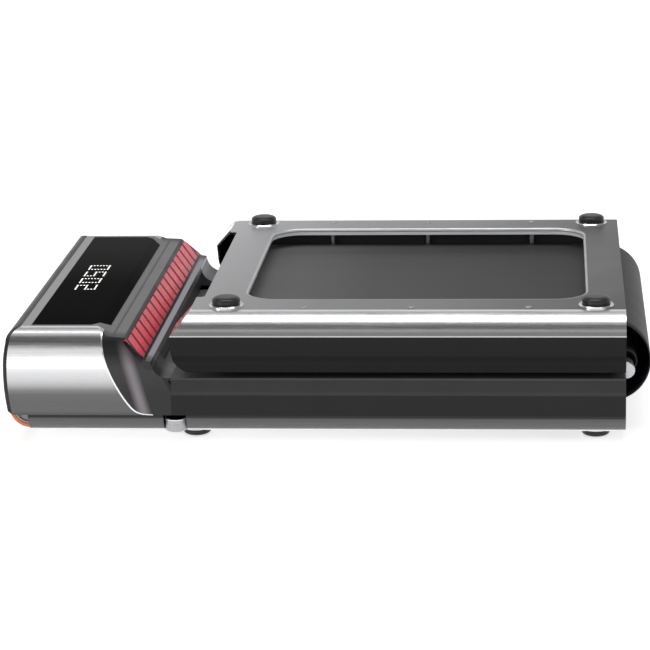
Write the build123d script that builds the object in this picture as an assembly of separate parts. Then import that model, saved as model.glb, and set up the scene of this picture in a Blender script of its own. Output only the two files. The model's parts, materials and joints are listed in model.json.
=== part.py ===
from build123d import *
import os
from math import acos, atan2, cos, pi, sin

# Fold-in-half walking treadmill, drawn folded flat. Millimetres, +Z up.
# Origin: centre of the folded footprint, on the floor. +X is the fold (hinge) end, -X the head end.
# The tail half lies on the head half as its mirror image about the level MID_Z.

# ---- overall sizes
LENGTH = 870.0             # folded, from the head end to the outside of the belt fold
WIDTH = 596.0              # over the side covers
HEIGHT = 193.0             # folded, from foot to foot
FOOT_HEIGHT = 13.0         # plate to floor
HALF_GAP = 4.0             # each half's top stays this far from MID_Z
HALF_L = LENGTH / 2
HALF_W = WIDTH / 2
MID_Z = HEIGHT / 2
BASE_Z = FOOT_HEIGHT       # outer face of the head half's plate
TOP_Z = MID_Z - HALF_GAP   # foot rail level of the head half

# ---- fold hinge
FOLD_RADIUS = 56.8         # outside of the belt where it turns around the fold
FOLD_X = HALF_L - FOLD_RADIUS
RAIL_END_X = FOLD_X + 21.8     # ends of plates, bands and side covers
HINGE_X = RAIL_END_X + 1.0
KNUCKLE_R = 10.0
HINGE_PIN_R = 5.0
HINGE_BOSS_R = 11.5
HINGE_BOSS_T = 4.0
KNUCKLE_GAP = 0.6
HINGE_NOTCH = 16.5         # length of the foot rail cut away around the knuckles
RUN_FIT = 0.05             # radial play of anything that turns on a pin or shaft
SKIN_GAP = 0.3             # play between a belt and the roller or pulley inside it

# ---- plates
PLATE_T = 2.0
PLATE_HALF_W = HALF_W - 34.0
LIP_H = 10.0
LIP_T = 1.6
TAIL_X = -HALF_L + 227.5   # furthest point of the tail half
TAIL_PLATE_X = TAIL_X + 25.0
OPEN_X0 = TAIL_PLATE_X + 66.0      # plate opening
OPEN_X1 = HALF_L - 84.5
OPEN_HALF_W = HALF_W - 88.0
OPEN_R = 45.0
EAR_HALF_W = HALF_W - 102.0        # the tail plate's edge steps back between its ears
EAR_STEP = 11.0
PLATE_CORNER_R = 11.0

# ---- side bands and side covers
BAND_H = 29.0
BAND_T = 2.5
COVER_T = 3.0
CHAMFER_H = 17.5
CHAMFER_W = 6.0
RAIL_INNER_Y = HALF_W - 72.0       # inner edge of the foot rails
RAIL_LIP_H = 8.5
END_CAP_T = 3.0

# ---- running belt, deck and rollers
BELT_HALF_W = HALF_W - 78.0
BELT_T = 1.6
WALK_DROP = 14.0           # walking surface below MID_Z
ROLLER_DRIVE_X = -HALF_L + 173.0
ROLLER_TAIL_X = TAIL_X + 42.5
ROLLER_HALF_L = BELT_HALF_W + 2.0
DECK_HALF_W = BELT_HALF_W + 12.0
DECK_T = 15.0
DECK_HEAD_X = ROLLER_DRIVE_X + 58.0
DECK_TAIL_X = ROLLER_TAIL_X + 25.0
WALK_Z = MID_Z - WALK_DROP
RETURN_Z = MID_Z - FOLD_RADIUS
ROLLER_Z = (WALK_Z + RETURN_Z) / 2
WRAP_R = (WALK_Z - RETURN_Z) / 2
ROLLER_R = WRAP_R - BELT_T - SKIN_GAP
DECK_Z1 = WALK_Z - BELT_T
DECK_Z0 = DECK_Z1 - DECK_T
DRIVE_SHAFT_R = 8.0
TAIL_AXLE_R = 6.0
BEARING_R = 13.0
ROLLER_WALL = 2.5
ROLLER_PLUG_T = 8.0        # webbed end plugs of the drive roller
ROLLER_WEB_R = 3.5

# ---- frame
FRAME_Y0 = HALF_W - 62.0   # inner face of the frame rails
FRAME_W = 25.0
FRAME_Y1 = FRAME_Y0 + FRAME_W
FRAME_H = TOP_Z - 17.5 - BASE_Z - PLATE_T
FRAME_WALL = 2.5
END_PLATE_T = 4.0          # drilled plate on the tail end of a rail, for the belt tension bolt
BOLT_R = 4.0
BOLT_HEAD_R = 7.0
BOLT_HEAD_T = 6.0
FRAME_HEAD_X = -HALF_L + 35.0
FRAME_TAIL_X = ROLLER_TAIL_X - 13.0
FRAME_END_X = RAIL_END_X - 16.0
MEMBER_W = 30.0
MEMBER_Z0 = RETURN_Z + BELT_T + 2.7
MEMBER_WALL = 2.0
CUSHION_T = 4.0
CUSHION_Y = BELT_HALF_W - 40.0
CUSHION_L = 26.0
CUSHION_W = 40.0
OPEN_SPAN = OPEN_X1 - OPEN_X0
MEMBER_MID_X = OPEN_X0 + 0.4 * OPEN_SPAN
MEMBER_FOLD_X = OPEN_X1 - 20.5
MEMBERS_HEAD = (DECK_HEAD_X + 34.0, MEMBER_MID_X, MEMBER_FOLD_X)
MEMBERS_TAIL = (OPEN_X0 + 20.5, MEMBER_MID_X, MEMBER_FOLD_X)
SCREW_XS = (OPEN_X0 + 0.186 * OPEN_SPAN, OPEN_X0 + 0.495 * OPEN_SPAN, OPEN_X0 + 0.83 * OPEN_SPAN)
SCREW_Y = FRAME_Y0 + 16.0
SCREW_R = 2.5
SCREW_HEAD_R = 4.5
SCREW_HEAD_T = 1.2
SCREW_SOCKET_R = 2.3
SCREW_LENGTH = 12.0
SPACER_Y = FRAME_Y0 - 8.0
SPACER_R = 3.5

# ---- feet
FOOT_Y = FRAME_Y0 + 6.0
FOOT_FOLD_X = RAIL_END_X - 39.0
FEET_HEAD_X = (TAIL_PLATE_X + 1.0, FOOT_FOLD_X)
FEET_TAIL_X = (TAIL_PLATE_X + 46.5, FOOT_FOLD_X)
PUCK_R = 19.0
PUCK_EDGE = 3.5
RING_R = 23.5
RING_T = 3.0
RING_GAP = 0.2

# ---- head housing
HEAD_TOP_Z = MID_Z + 60.5
HEAD_T = 3.0
NOSE_X = -HALF_L + 31.0            # front edge of the bottom plate
TOP_EDGE_X = -HALF_L + 126.5       # end of the level top
STEP_X = TOP_EDGE_X + 15.0         # foot of the slope beside the level top
STEP_Z = HEAD_TOP_Z - 8.5
FACET_X0 = STEP_X + 23.0           # light bar facet, at half a right angle
FACET_Z0 = STEP_Z - 1.5
FACET_DROP = 29.0
FACET_X1 = FACET_X0 + FACET_DROP
FACET_Z1 = FACET_Z0 - FACET_DROP
HEAD_WALL_X = FACET_X1 + 8.0       # wall above the running belt
FAIRING_X = HEAD_WALL_X + 25.5     # where the fairings run out into the foot rails
FAIRING_LEAN = 10.0                # how fast the foot rail's chamfer fades out along a fairing
CHEEK_CREASE_Z = MID_Z + 17.5      # the sides round inward above this level
CHEEK_Y = HALF_W - 36.0            # inner edge of the cheek panels
CHEEK_TOP_X = TOP_EDGE_X + 6.5     # the cheek's S-shaped edge, at the top and at the band
CHEEK_LOW_X = HEAD_WALL_X - 1.5
BELT_SLOT = 5.0            # room above the belt under the head wall
END_STRIP = 5.0
TRIM_W = 1.8
GLASS_T = 2.2
GLASS_X0 = -HALF_L + 34.0
GLASS_X1 = TOP_EDGE_X + 12.5
GLASS_HALF_W = CHEEK_Y - 6.0
GLASS_CORNER = 24.0
WINDOW = (GLASS_X0 + 15.0, GLASS_X0 + 65.0, -70.0, 80.0)
LENS_INSET = 2.0
TRIM_BAR_H = 12.0
BOARD_T = 1.6
DISPLAY_DROP = 5.0         # display board below the skin
POST_R = 2.5
LAMP_BOARD_W = 14.0
LAMP_BOARD_HALF_L = HALF_W - 58.0

# ---- drive
MOTOR_X = -HALF_L + 83.0
MOTOR_Z = MID_Z - 18.5
MOTOR_R = 42.0
MOTOR_WALL = 4.0
MOTOR_Y0 = HALF_W - 246.0
MOTOR_Y1 = HALF_W - 96.0
SADDLE_INSET = 53.0
SADDLE_HALF_L = 34.0
ROTOR_R = 34.0
ROTOR_INSET = 16.0
MOTOR_SHAFT_R = 6.0
FAN_R = 34.0
FAN_T = 12.0
FAN_GAP = 5.0
FAN_BLADES = 9
FAN_HUB_R = 12.0
FAN_BLADE_T = 2.0
PULLEY_Y0 = BELT_HALF_W + 3.5
PULLEY_Y1 = PULLEY_Y0 + 11.0
MOTOR_PULLEY_R = 12.0
ROLLER_PULLEY_R = 31.0
FLANGE_H = 2.0
FLANGE_T = 1.0
DRIVE_BELT_T = 3.0
BOARD_X0 = -HALF_L + 41.0  # motor controller, beside the motor
BOARD_X1 = -HALF_L + 137.0
BOARD_Y0 = -HALF_W + 66.0
BOARD_Y1 = BOARD_Y0 + 166.0
BOARD_STAND = 8.0
BOARD_POST_R = 3.0
BOARD_INSET = 6.0
COIL_L = 56.0
COIL_W = 40.0
COIL_H = 24.0
CAPACITOR_R = 11.0
CAPACITOR_H = 34.4
CAPACITOR_STEP = 30.0
SINK_L = 64.0
SINK_W = 92.0
SINK_H = 34.0
SINK_BASE_T = 5.0
FIN_T = 2.0
FIN_STEP = 7.75
FINS = 9

# ---- transport wheels
WHEEL_X = -HALF_L + 29.5
WHEEL_Z = 46.0
WHEEL_R = 28.0
WHEEL_HUB_R = 21.0
WHEEL_W = 18.0
WHEEL_Y1 = HALF_W - 14.5
WHEEL_GAP = 1.5
WHEEL_SHOULDER = 9.0
WHEEL_PIN_R = 4.0
NOTCH_LOW_X = -HALF_L + 10.0      # the head's lower corner is open in front of each wheel
NOTCH_RISE = 9.0
PIN_HEAD_R = 7.0
PIN_HEAD_T = 2.0
PIN_FLANGE_R = 12.0
PIN_FLANGE_T = 3.0

# ---- cups under the fairings
CUP_X = FAIRING_X + 4.0
CUP_R = 15.0
CUP_GAP = 0.5
CUP_WALL = 2.5
CUP_FLOOR = 3.0
CUP_Z0 = BASE_Z + 4.0
CUP_Z1 = CUP_Z0 + 18.0
LUG_HALF_L = 9.0
LUG_H = 10.0
LUG_DROP = 6.0

# ---- power inlet and its rocker, in the head end
INLET_Y = HALF_W - 108.0
INLET_W = 50.0
INLET_H = 28.0
INLET_Z = MID_Z - 22.5
INLET_X0 = -HALF_L + 2.0
INLET_DEPTH = 30.0
MOUTH_Y = INLET_Y - 10.0
MOUTH_W = 25.0
MOUTH_H = 16.0
MOUTH_DEPTH = 18.0
PRONGS = ((-7.0, -1.0), (0.0, 2.0), (7.0, -1.0))
PRONG_W = 2.0
PRONG_H = 4.0
PRONG_SINK = 3.0
ROCKER_W = 12.0
ROCKER_H = 18.0
ROCKER_T = 6.0
ROCKER_TILT = 7.0
ROCKER_PIVOT_R = 1.6
ROCKER_PIVOT_L = 1.5
ROCKER_OFFSET = 14.0
ROCKER_SINK = 5.0
ROCKER_PROUD = 2.5


# ---------------------------------------------------------------- helpers
def box(x0, x1, y0, y1, z0, z1):
    """A block between two corners."""
    return Pos((x0 + x1) / 2, (y0 + y1) / 2, (z0 + z1) / 2) * Box(x1 - x0, y1 - y0, z1 - z0)


def rod_x(y, z, r, x0, x1):
    return Pos((x0 + x1) / 2, y, z) * Rot(0, 90, 0) * Cylinder(r, x1 - x0)


def rod_y(x, z, r, y0, y1):
    return Pos(x, (y0 + y1) / 2, z) * Rot(90, 0, 0) * Cylinder(r, y1 - y0)


def rod_z(x, y, r, z0, z1):
    return Pos(x, y, (z0 + z1) / 2) * Cylinder(r, z1 - z0)


def slab(face, y0, y1):
    """A face drawn in (X, Z), given thickness from y0 to y1."""
    return extrude(Plane.XZ.offset(-y0) * face, -(y1 - y0))


def along_x(face, x0, x1):
    """A face drawn in (Y, Z), carried from x0 to x1."""
    return extrude(Plane.YZ.offset(x0) * face, x1 - x0)


def polygon(*points):
    return make_face(Polyline(*points, close=True))


def rect(x0, x1, z0, z1):
    return polygon((x0, z0), (x1, z0), (x1, z1), (x0, z1))


def other_side(shape):
    """The same piece on the other side of the centre line."""
    return mirror(shape, about=Plane.XZ)


def other_half(shape):
    """The same piece in the other half of the folded stack."""
    return mirror(shape, about=Plane.XY.offset(MID_Z))


def both_sides(shape):
    return [shape, other_side(shape)]


# ---------------------------------------------------------------- plates, bands and covers
def plate(x0, ear):
    """Sheet plate with a rounded opening whose edge is folded inwards, in the head half's place."""
    blank = rect(x0, RAIL_END_X, -PLATE_HALF_W, PLATE_HALF_W)
    sheet = extrude(blank, PLATE_T)
    if ear:
        corners = sheet.edges().filter_by(Axis.Z).sort_by(Axis.X)[:2]
        sheet = fillet(corners, PLATE_CORNER_R)
        step = box(x0 - 1, x0 + EAR_STEP, -EAR_HALF_W, EAR_HALF_W, -1, PLATE_T + 1)
        sheet -= fillet(step.edges().filter_by(Axis.Z).sort_by(Axis.X)[2:], PLATE_CORNER_R / 2)
    opening = opening_block(0, OPEN_R, -1, PLATE_T + 1)
    lip = opening_block(LIP_T, OPEN_R + LIP_T, 0, LIP_H)
    lip -= opening_block(0, OPEN_R, -1, LIP_H + 1)
    sheet = sheet - opening + lip
    for x in SCREW_XS:
        for y in (-SCREW_Y, SCREW_Y):
            sheet -= rod_z(x, y, SCREW_R, -1, PLATE_T + 1)
    return Pos(0, 0, BASE_Z) * sheet


def opening_block(grow, corner_r, z0, z1):
    """Round-cornered block as large as the plate opening grown by a wall."""
    block = box(OPEN_X0 - grow, OPEN_X1 + grow, -OPEN_HALF_W - grow, OPEN_HALF_W + grow, z0, z1)
    return fillet(block.edges().filter_by(Axis.Z), corner_r)


def band_face():
    """Quarter ellipse strip from the plate's edge up to the side cover, in (Y, Z)."""
    def quarter(inset):
        centre = (PLATE_HALF_W, BASE_Z + BAND_H)
        width = HALF_W - PLATE_HALF_W - inset
        return EllipticalCenterArc(centre, width, BAND_H - inset, start_angle=270, arc_size=90)
    outer = quarter(0)
    inner = quarter(BAND_T)
    return make_face([outer, inner, Line(outer @ 0, inner @ 0), Line(outer @ 1, inner @ 1)])


def side_band_head():
    strip = along_x(band_face(), NOSE_X, RAIL_END_X)
    strip -= rod_z(CUP_X, HALF_W - CUP_R, CUP_R + CUP_GAP, BASE_Z - 1, CUP_Z1 + BAND_H)
    room = CUP_R + CUP_GAP
    return strip - box(CUP_X - room, CUP_X + room, HALF_W - CUP_R, HALF_W + 1, BASE_Z - 1, BASE_Z + BAND_H + 1)


def tail_slope():
    """Wedge in (X, Z) that is cut off the end of the tail half, in the head half's place."""
    rise = BAND_H
    return polygon((TAIL_X - 20, BASE_Z - 1), (TAIL_PLATE_X + 0.9, BASE_Z - 1),
                   (TAIL_X, BASE_Z + rise), (TAIL_X - 20, BASE_Z + rise))


def side_band_tail():
    strip = along_x(band_face(), TAIL_X, RAIL_END_X)
    return strip - slab(tail_slope(), 0, HALF_W)


def cover_face():
    """Foot rail and side wall as one bent strip, in (Y, Z)."""
    low = BASE_Z + BAND_H
    bend = TOP_Z - CHAMFER_H
    inner_bend = HALF_W - CHAMFER_W - COVER_T * 0.7
    return polygon((HALF_W, low), (HALF_W, bend), (HALF_W - CHAMFER_W, TOP_Z),
                   (RAIL_INNER_Y, TOP_Z), (RAIL_INNER_Y, TOP_Z - RAIL_LIP_H),
                   (RAIL_INNER_Y + COVER_T, TOP_Z - RAIL_LIP_H), (RAIL_INNER_Y + COVER_T, TOP_Z - COVER_T),
                   (inner_bend, TOP_Z - COVER_T), (HALF_W - COVER_T, bend - 0.6), (HALF_W - COVER_T, low))


def hinge_notch():
    """Room around the knuckles at the fold end of a foot rail."""
    return box(RAIL_END_X - HINGE_NOTCH, RAIL_END_X + 1, RAIL_INNER_Y - 1, FRAME_Y1 + HINGE_BOSS_T + 3,
               TOP_Z - 2 * KNUCKLE_R, TOP_Z + 1)


def side_cover_head():
    return along_x(cover_face(), FAIRING_X, RAIL_END_X) - hinge_notch() + fold_end_wall()


def tail_end_outline():
    """Outline of the tail half's end in (X, Z), in the head half's place: a blunt rounded end."""
    low = BASE_Z + BAND_H
    side = Line((TAIL_X, low), (TAIL_X + 1.5, low + 22))
    turn = TangentArc((TAIL_X + 1.5, low + 22), (TAIL_X + 22, TOP_Z), tangent=(1.5, 22))
    rest = Polyline((TAIL_X + 22, TOP_Z), (RAIL_END_X, TOP_Z), (RAIL_END_X, low), (TAIL_X, low))
    return make_face([side, turn, rest])


def side_cover_tail():
    """Foot rail of the tail half; its end is closed by a wall that follows the rounded outline."""
    low = BASE_Z + BAND_H
    solid_face = polygon((HALF_W, low), (HALF_W, TOP_Z - CHAMFER_H), (HALF_W - CHAMFER_W, TOP_Z),
                         (RAIL_INNER_Y, TOP_Z), (RAIL_INNER_Y, low))
    hull = along_x(solid_face, TAIL_X, RAIL_END_X) & slab(tail_end_outline(), 0, HALF_W)
    strip = along_x(cover_face(), TAIL_X, RAIL_END_X) & slab(tail_end_outline(), 0, HALF_W)
    end = hull - slab(Pos(COVER_T, -COVER_T * 0.8) * tail_end_outline(), 0, HALF_W)
    end -= box(TAIL_X + 40, RAIL_END_X + 1, 0, HALF_W + 1, 0, MID_Z)
    return strip + end - hinge_notch() + fold_end_wall()


def tail_end_cap():
    """Sloping cover that closes the tail half between its plate and its side cover."""
    slope_top = (TAIL_PLATE_X + 0.9, BASE_Z)
    slope_low = (TAIL_X, BASE_Z + BAND_H)
    back = COVER_T * 1.3
    face = polygon(slope_top, slope_low, (slope_low[0] + back, slope_low[1]), (slope_top[0] + back, slope_top[1]))
    hull = along_x(quarter_hull(0), TAIL_X - 1, TAIL_PLATE_X + 20)
    cap = slab(face, RAIL_INNER_Y, HALF_W) & hull
    cap -= along_x(band_face(), TAIL_X, RAIL_END_X)
    return cap - box(TAIL_X - 1, RAIL_END_X, 0, HALF_W, BASE_Z - 1, BASE_Z + PLATE_T)


def quarter_hull(inset):
    """Everything inside the band's curve, in (Y, Z)."""
    centre = (PLATE_HALF_W, BASE_Z + BAND_H)
    curve = EllipticalCenterArc(centre, HALF_W - PLATE_HALF_W - inset, BAND_H - inset,
                                start_angle=270, arc_size=90)
    rest = Polyline(curve @ 1, (RAIL_INNER_Y, BASE_Z + BAND_H), (RAIL_INNER_Y, BASE_Z + inset), curve @ 0)
    return make_face([curve, rest])


def fold_end_wall():
    """Wall that closes the fold end of a side cover, and of the band under it, outboard of the hinge."""
    low = BASE_Z + BAND_H
    y0 = FRAME_Y1 + HINGE_BOSS_T + 3
    upper = polygon((HALF_W, low), (HALF_W, TOP_Z - CHAMFER_H), (HALF_W - CHAMFER_W, TOP_Z), (y0, TOP_Z), (y0, low))
    x0 = RAIL_END_X - END_CAP_T
    lower = along_x(quarter_hull(BAND_T), x0, RAIL_END_X) & box(x0, RAIL_END_X, y0, HALF_W, 0, MID_Z)
    return along_x(upper, x0, RAIL_END_X) + lower


# ---------------------------------------------------------------- frame, deck and feet
def frame_rail(x0, hole_x, hole_r, end_plate):
    """Rectangular tube on the plate, with a cross hole for the roller's bearing or axle."""
    outer = box(x0, FRAME_END_X, FRAME_Y0, FRAME_Y1, BASE_Z + PLATE_T, BASE_Z + PLATE_T + FRAME_H)
    inner = box(x0 - 1, FRAME_END_X + 1, FRAME_Y0 + FRAME_WALL, FRAME_Y1 - FRAME_WALL,
                BASE_Z + PLATE_T + FRAME_WALL, BASE_Z + PLATE_T + FRAME_H - FRAME_WALL)
    tube = outer - inner
    for x in SCREW_XS:
        tube -= rod_z(x, SCREW_Y, SCREW_R, BASE_Z, BASE_Z + PLATE_T + 2 * FRAME_WALL)
    if end_plate:
        tube += box(x0, x0 + END_PLATE_T, FRAME_Y0, FRAME_Y1, BASE_Z + PLATE_T, BASE_Z + PLATE_T + FRAME_H)
        tube -= rod_x((FRAME_Y0 + FRAME_Y1) / 2, ROLLER_Z, BOLT_R, x0 - 1, x0 + END_PLATE_T + 1)
    return tube - rod_y(hole_x, ROLLER_Z, hole_r, FRAME_Y0 - 1, FRAME_Y1 + 1)


def cross_members(xs):
    """Box-section members between the rails, inside the belt loop."""
    z1 = DECK_Z0 - CUSHION_T
    members = []
    for x in xs:
        outer = box(x - MEMBER_W / 2, x + MEMBER_W / 2, -FRAME_Y0, FRAME_Y0, MEMBER_Z0, z1)
        inner = box(x - MEMBER_W / 2 + MEMBER_WALL, x + MEMBER_W / 2 - MEMBER_WALL, -FRAME_Y0 - 1,
                    FRAME_Y0 + 1, MEMBER_Z0 + MEMBER_WALL, z1 - MEMBER_WALL)
        members.append(outer - inner)
    return members


def cushions(xs):
    pads = []
    for x in xs:
        for y in (-CUSHION_Y, CUSHION_Y):
            pad = Box(CUSHION_L, CUSHION_W, CUSHION_T)
            pads.append(Pos(x, y, DECK_Z0 - CUSHION_T / 2) * pad)
    return pads


def deck_board(x0):
    board = box(x0, HINGE_X - 2, -DECK_HALF_W, DECK_HALF_W, DECK_Z0, DECK_Z1)
    return chamfer(board.edges().filter_by(Axis.Y).group_by(Axis.Z)[-1], 3)


def spacers():
    return [rod_z(x, y, SPACER_R, BASE_Z + PLATE_T, DECK_Z0) for x in SCREW_XS for y in (-SPACER_Y, SPACER_Y)]


def plate_screw(x, y):
    head = rod_z(x, y, SCREW_HEAD_R, BASE_Z - SCREW_HEAD_T, BASE_Z)
    head = fillet(head.edges().sort_by(Axis.Z)[0], SCREW_HEAD_T * 0.8)
    socket = extrude(RegularPolygon(SCREW_SOCKET_R, 6), SCREW_HEAD_T * 2)
    head -= Pos(x, y, BASE_Z - SCREW_HEAD_T * 2.4) * socket
    return head + rod_z(x, y, SCREW_R, BASE_Z, BASE_Z + SCREW_LENGTH)


def plate_screws():
    return [plate_screw(x, y) for x in SCREW_XS for y in (-SCREW_Y, SCREW_Y)]


def foot_puck(x, y):
    puck = rod_z(x, y, PUCK_R, 0, BASE_Z)
    return fillet(puck.edges().sort_by(Axis.Z)[0], PUCK_EDGE)


def foot_ring(x, y):
    ring = rod_z(x, y, RING_R, BASE_Z - RING_T, BASE_Z) - rod_z(x, y, PUCK_R + RING_GAP, 0, BASE_Z + 1)
    return chamfer(ring.edges().group_by(Axis.Z)[0].sort_by(SortBy.LENGTH)[-1], 1.5)


def at_feet(make, xs):
    return [make(x, y) for x in xs for y in (-FOOT_Y, FOOT_Y)]


# ---------------------------------------------------------------- running belt and rollers
def belt_run(roller_x):
    """Walking run, wrap around the roller and return run of one half, as one strip."""
    inner_r = WRAP_R - BELT_T
    outside = [Line((HINGE_X, WALK_Z), (roller_x, WALK_Z)),
               CenterArc((roller_x, ROLLER_Z), WRAP_R, 90, 180),
               Line((roller_x, RETURN_Z), (FOLD_X, RETURN_Z))]
    inside = [Line((FOLD_X, RETURN_Z + BELT_T), (roller_x, RETURN_Z + BELT_T)),
              CenterArc((roller_x, ROLLER_Z), inner_r, 90, 180),
              Line((roller_x, DECK_Z1), (HINGE_X, DECK_Z1))]
    ends = [Line((FOLD_X, RETURN_Z), (FOLD_X, RETURN_Z + BELT_T)), Line((HINGE_X, DECK_Z1), (HINGE_X, WALK_Z))]
    return slab(make_face(outside + inside + ends), -BELT_HALF_W, BELT_HALF_W)


def half_pipe(x, r_out, r_in):
    """Half of a pipe across the machine, bulging towards +X, at the fold's level."""
    pipe = rod_y(x, MID_Z, r_out, -BELT_HALF_W, BELT_HALF_W) - rod_y(x, MID_Z, r_in, -HALF_W, HALF_W)
    return pipe & box(x, x + r_out + 1, -HALF_W, HALF_W, 0, HEIGHT)


def drive_roller():
    """Tube on webbed end plugs, in one piece with its shaft."""
    tube = rod_y(ROLLER_DRIVE_X, ROLLER_Z, ROLLER_R, -ROLLER_HALF_L, ROLLER_HALF_L)
    plug = ROLLER_HALF_L - ROLLER_PLUG_T
    tube -= rod_y(ROLLER_DRIVE_X, ROLLER_Z, ROLLER_R - ROLLER_WALL, -plug, plug)
    web = (ROLLER_R - ROLLER_WALL + DRIVE_SHAFT_R) / 2
    for dx, dz in ((web, 0), (-web, 0), (0, web), (0, -web)):
        tube -= rod_y(ROLLER_DRIVE_X + dx, ROLLER_Z + dz, ROLLER_WEB_R, -HALF_W, HALF_W)
    return tube + rod_y(ROLLER_DRIVE_X, ROLLER_Z, DRIVE_SHAFT_R, -FRAME_Y1, FRAME_Y1)


def roller_bearing(y0, y1):
    ring = rod_y(ROLLER_DRIVE_X, ROLLER_Z, BEARING_R, y0, y1)
    return ring - rod_y(ROLLER_DRIVE_X, ROLLER_Z, DRIVE_SHAFT_R + RUN_FIT, y0 - 1, y1 + 1)


def tail_roller():
    tube = rod_y(ROLLER_TAIL_X, ROLLER_Z, ROLLER_R, -ROLLER_HALF_L, ROLLER_HALF_L)
    return tube - rod_y(ROLLER_TAIL_X, ROLLER_Z, ROLLER_R - ROLLER_WALL, -HALF_W, HALF_W)


def tail_bearing(y0, y1):
    ring = rod_y(ROLLER_TAIL_X, ROLLER_Z, ROLLER_R - ROLLER_WALL, y0, y1)
    return ring - rod_y(ROLLER_TAIL_X, ROLLER_Z, TAIL_AXLE_R + RUN_FIT, y0 - 1, y1 + 1)


def tension_bolt():
    y = (FRAME_Y0 + FRAME_Y1) / 2
    shank = rod_x(y, ROLLER_Z, BOLT_R, FRAME_TAIL_X, ROLLER_TAIL_X - TAIL_AXLE_R)
    head = extrude(RegularPolygon(BOLT_HEAD_R, 6), BOLT_HEAD_T)
    return shank + Pos(FRAME_TAIL_X - BOLT_HEAD_T, y, ROLLER_Z) * Rot(0, 90, 0) * head


# ---------------------------------------------------------------- fold hinge
def knuckle(y0, y1):
    """Bracket that plugs on a rail's end and carries one barrel of the fold hinge."""
    leaf = box(FRAME_END_X, HINGE_X - 4, y0, y1, BASE_Z + PLATE_T, MID_Z)
    barrel = rod_y(HINGE_X, MID_Z, KNUCKLE_R, y0, y1)
    return leaf + barrel - rod_y(HINGE_X, MID_Z, HINGE_PIN_R + RUN_FIT, y0 - 1, y1 + 1)


def hinge_pin():
    pin = rod_y(HINGE_X, MID_Z, HINGE_PIN_R, FRAME_Y0 - 2, FRAME_Y1 + 1)
    boss = rod_y(HINGE_X, MID_Z, HINGE_BOSS_R, FRAME_Y1 + 1, FRAME_Y1 + 1 + HINGE_BOSS_T)
    boss = fillet(boss.edges().sort_by(Axis.Y)[-1], 1.5)
    return pin + boss


# ---------------------------------------------------------------- head housing
def head_outline():
    """Side outline of the head housing with its fairing, in (X, Z)."""
    nose = ThreePointArc((NOSE_X, BASE_Z), (NOSE_X - 19, BASE_Z + 11), (-HALF_L + 4, BASE_Z + 33))
    front = ThreePointArc((-HALF_L + 4, BASE_Z + 33), (-HALF_L, MID_Z - 4), (-HALF_L + 4, HEAD_TOP_Z - 15))
    brow = ThreePointArc((-HALF_L + 4, HEAD_TOP_Z - 15), (-HALF_L + 7.5, HEAD_TOP_Z - 4.5),
                         (-HALF_L + 16, HEAD_TOP_Z))
    top = Polyline((-HALF_L + 16, HEAD_TOP_Z), (TOP_EDGE_X, HEAD_TOP_Z), (STEP_X, STEP_Z),
                   (FACET_X0, FACET_Z0), (FACET_X1, FACET_Z1), (HEAD_WALL_X, FACET_Z1 - 1))
    run_out = TangentArc((FAIRING_X, TOP_Z), (HEAD_WALL_X, FACET_Z1 - 1), tangent=(-1, 0))
    close = Polyline((FAIRING_X, TOP_Z), (FAIRING_X, BASE_Z), (NOSE_X, BASE_Z))
    return make_face([nose, front, brow, top, run_out, close])


def head_section(inset):
    """Cross section of the head housing, in (Y, Z): upright sides that round inward to the top."""
    y = HALF_W - inset
    flat = PLATE_HALF_W
    top = HEAD_TOP_Z - inset
    rise = top - CHEEK_CREASE_Z
    right = EllipticalCenterArc((flat, CHEEK_CREASE_Z), y - flat, rise, start_angle=0, arc_size=90)
    left = EllipticalCenterArc((-flat, CHEEK_CREASE_Z), y - flat, rise, start_angle=90, arc_size=90)
    rest = Polyline(left @ 1, (-y, 0), (y, 0), right @ 0)
    return make_face([right, Line(right @ 1, left @ 0), left, rest])


def head_shell():
    """Whole skin of the head housing, before it is divided into its covers."""
    outline = head_outline()
    middle = outline & rect(-HALF_L - 1, HEAD_WALL_X, 0, HEIGHT)
    outer = slab(outline, -HALF_W, HALF_W)
    outer -= box(HEAD_WALL_X, FAIRING_X + 1, -RAIL_INNER_Y, RAIL_INNER_Y, 0, HEIGHT)
    outer &= along_x(head_section(0), -HALF_L - 1, FAIRING_X)
    room_side = offset(outline, -HEAD_T) + rect(NOSE_X, FAIRING_X, 0, BASE_Z + 30)
    room_side += rect(FAIRING_X - 2 * HEAD_T, FAIRING_X + 1, 0, TOP_Z - HEAD_T)
    room_mid = offset(middle, -HEAD_T) + rect(NOSE_X, HEAD_WALL_X, 0, BASE_Z + 30)
    room_mid += rect(HEAD_WALL_X - 2 * HEAD_T, HEAD_WALL_X + 1, 0, WALK_Z + BELT_SLOT)
    inner = slab(room_mid, -HALF_W, HALF_W)
    fairing_room = slab(room_side, RAIL_INNER_Y + HEAD_T, HALF_W)
    inner += fairing_room
    inner += other_side(fairing_room)
    inner &= along_x(head_section(HEAD_T), -HALF_L - 1, FAIRING_X + 1)
    shell = outer - inner
    shell -= box(NOSE_X, FAIRING_X + 1, -HALF_W, HALF_W, 0, BASE_Z + BAND_H)
    for s in (-1, 1):
        edge = s * (RAIL_INNER_Y + HEAD_T)
        shell -= box(HEAD_WALL_X, FAIRING_X + 1, min(edge, 0), max(edge, 0), 0, WALK_Z + BELT_SLOT)
    bevel = fairing_bevel()
    return shell - bevel - other_side(bevel)


def fairing_bevel():
    """Block whose face meets the foot rail's chamfer and leaves the fairing's side further forward."""
    face = Plane(origin=(FAIRING_X, HALF_W, TOP_Z - CHAMFER_H), z_dir=(FAIRING_LEAN, CHAMFER_H, CHAMFER_W))
    return face * Pos(0, 0, HALF_W / 2) * Box(WIDTH, WIDTH, HALF_W)


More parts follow.
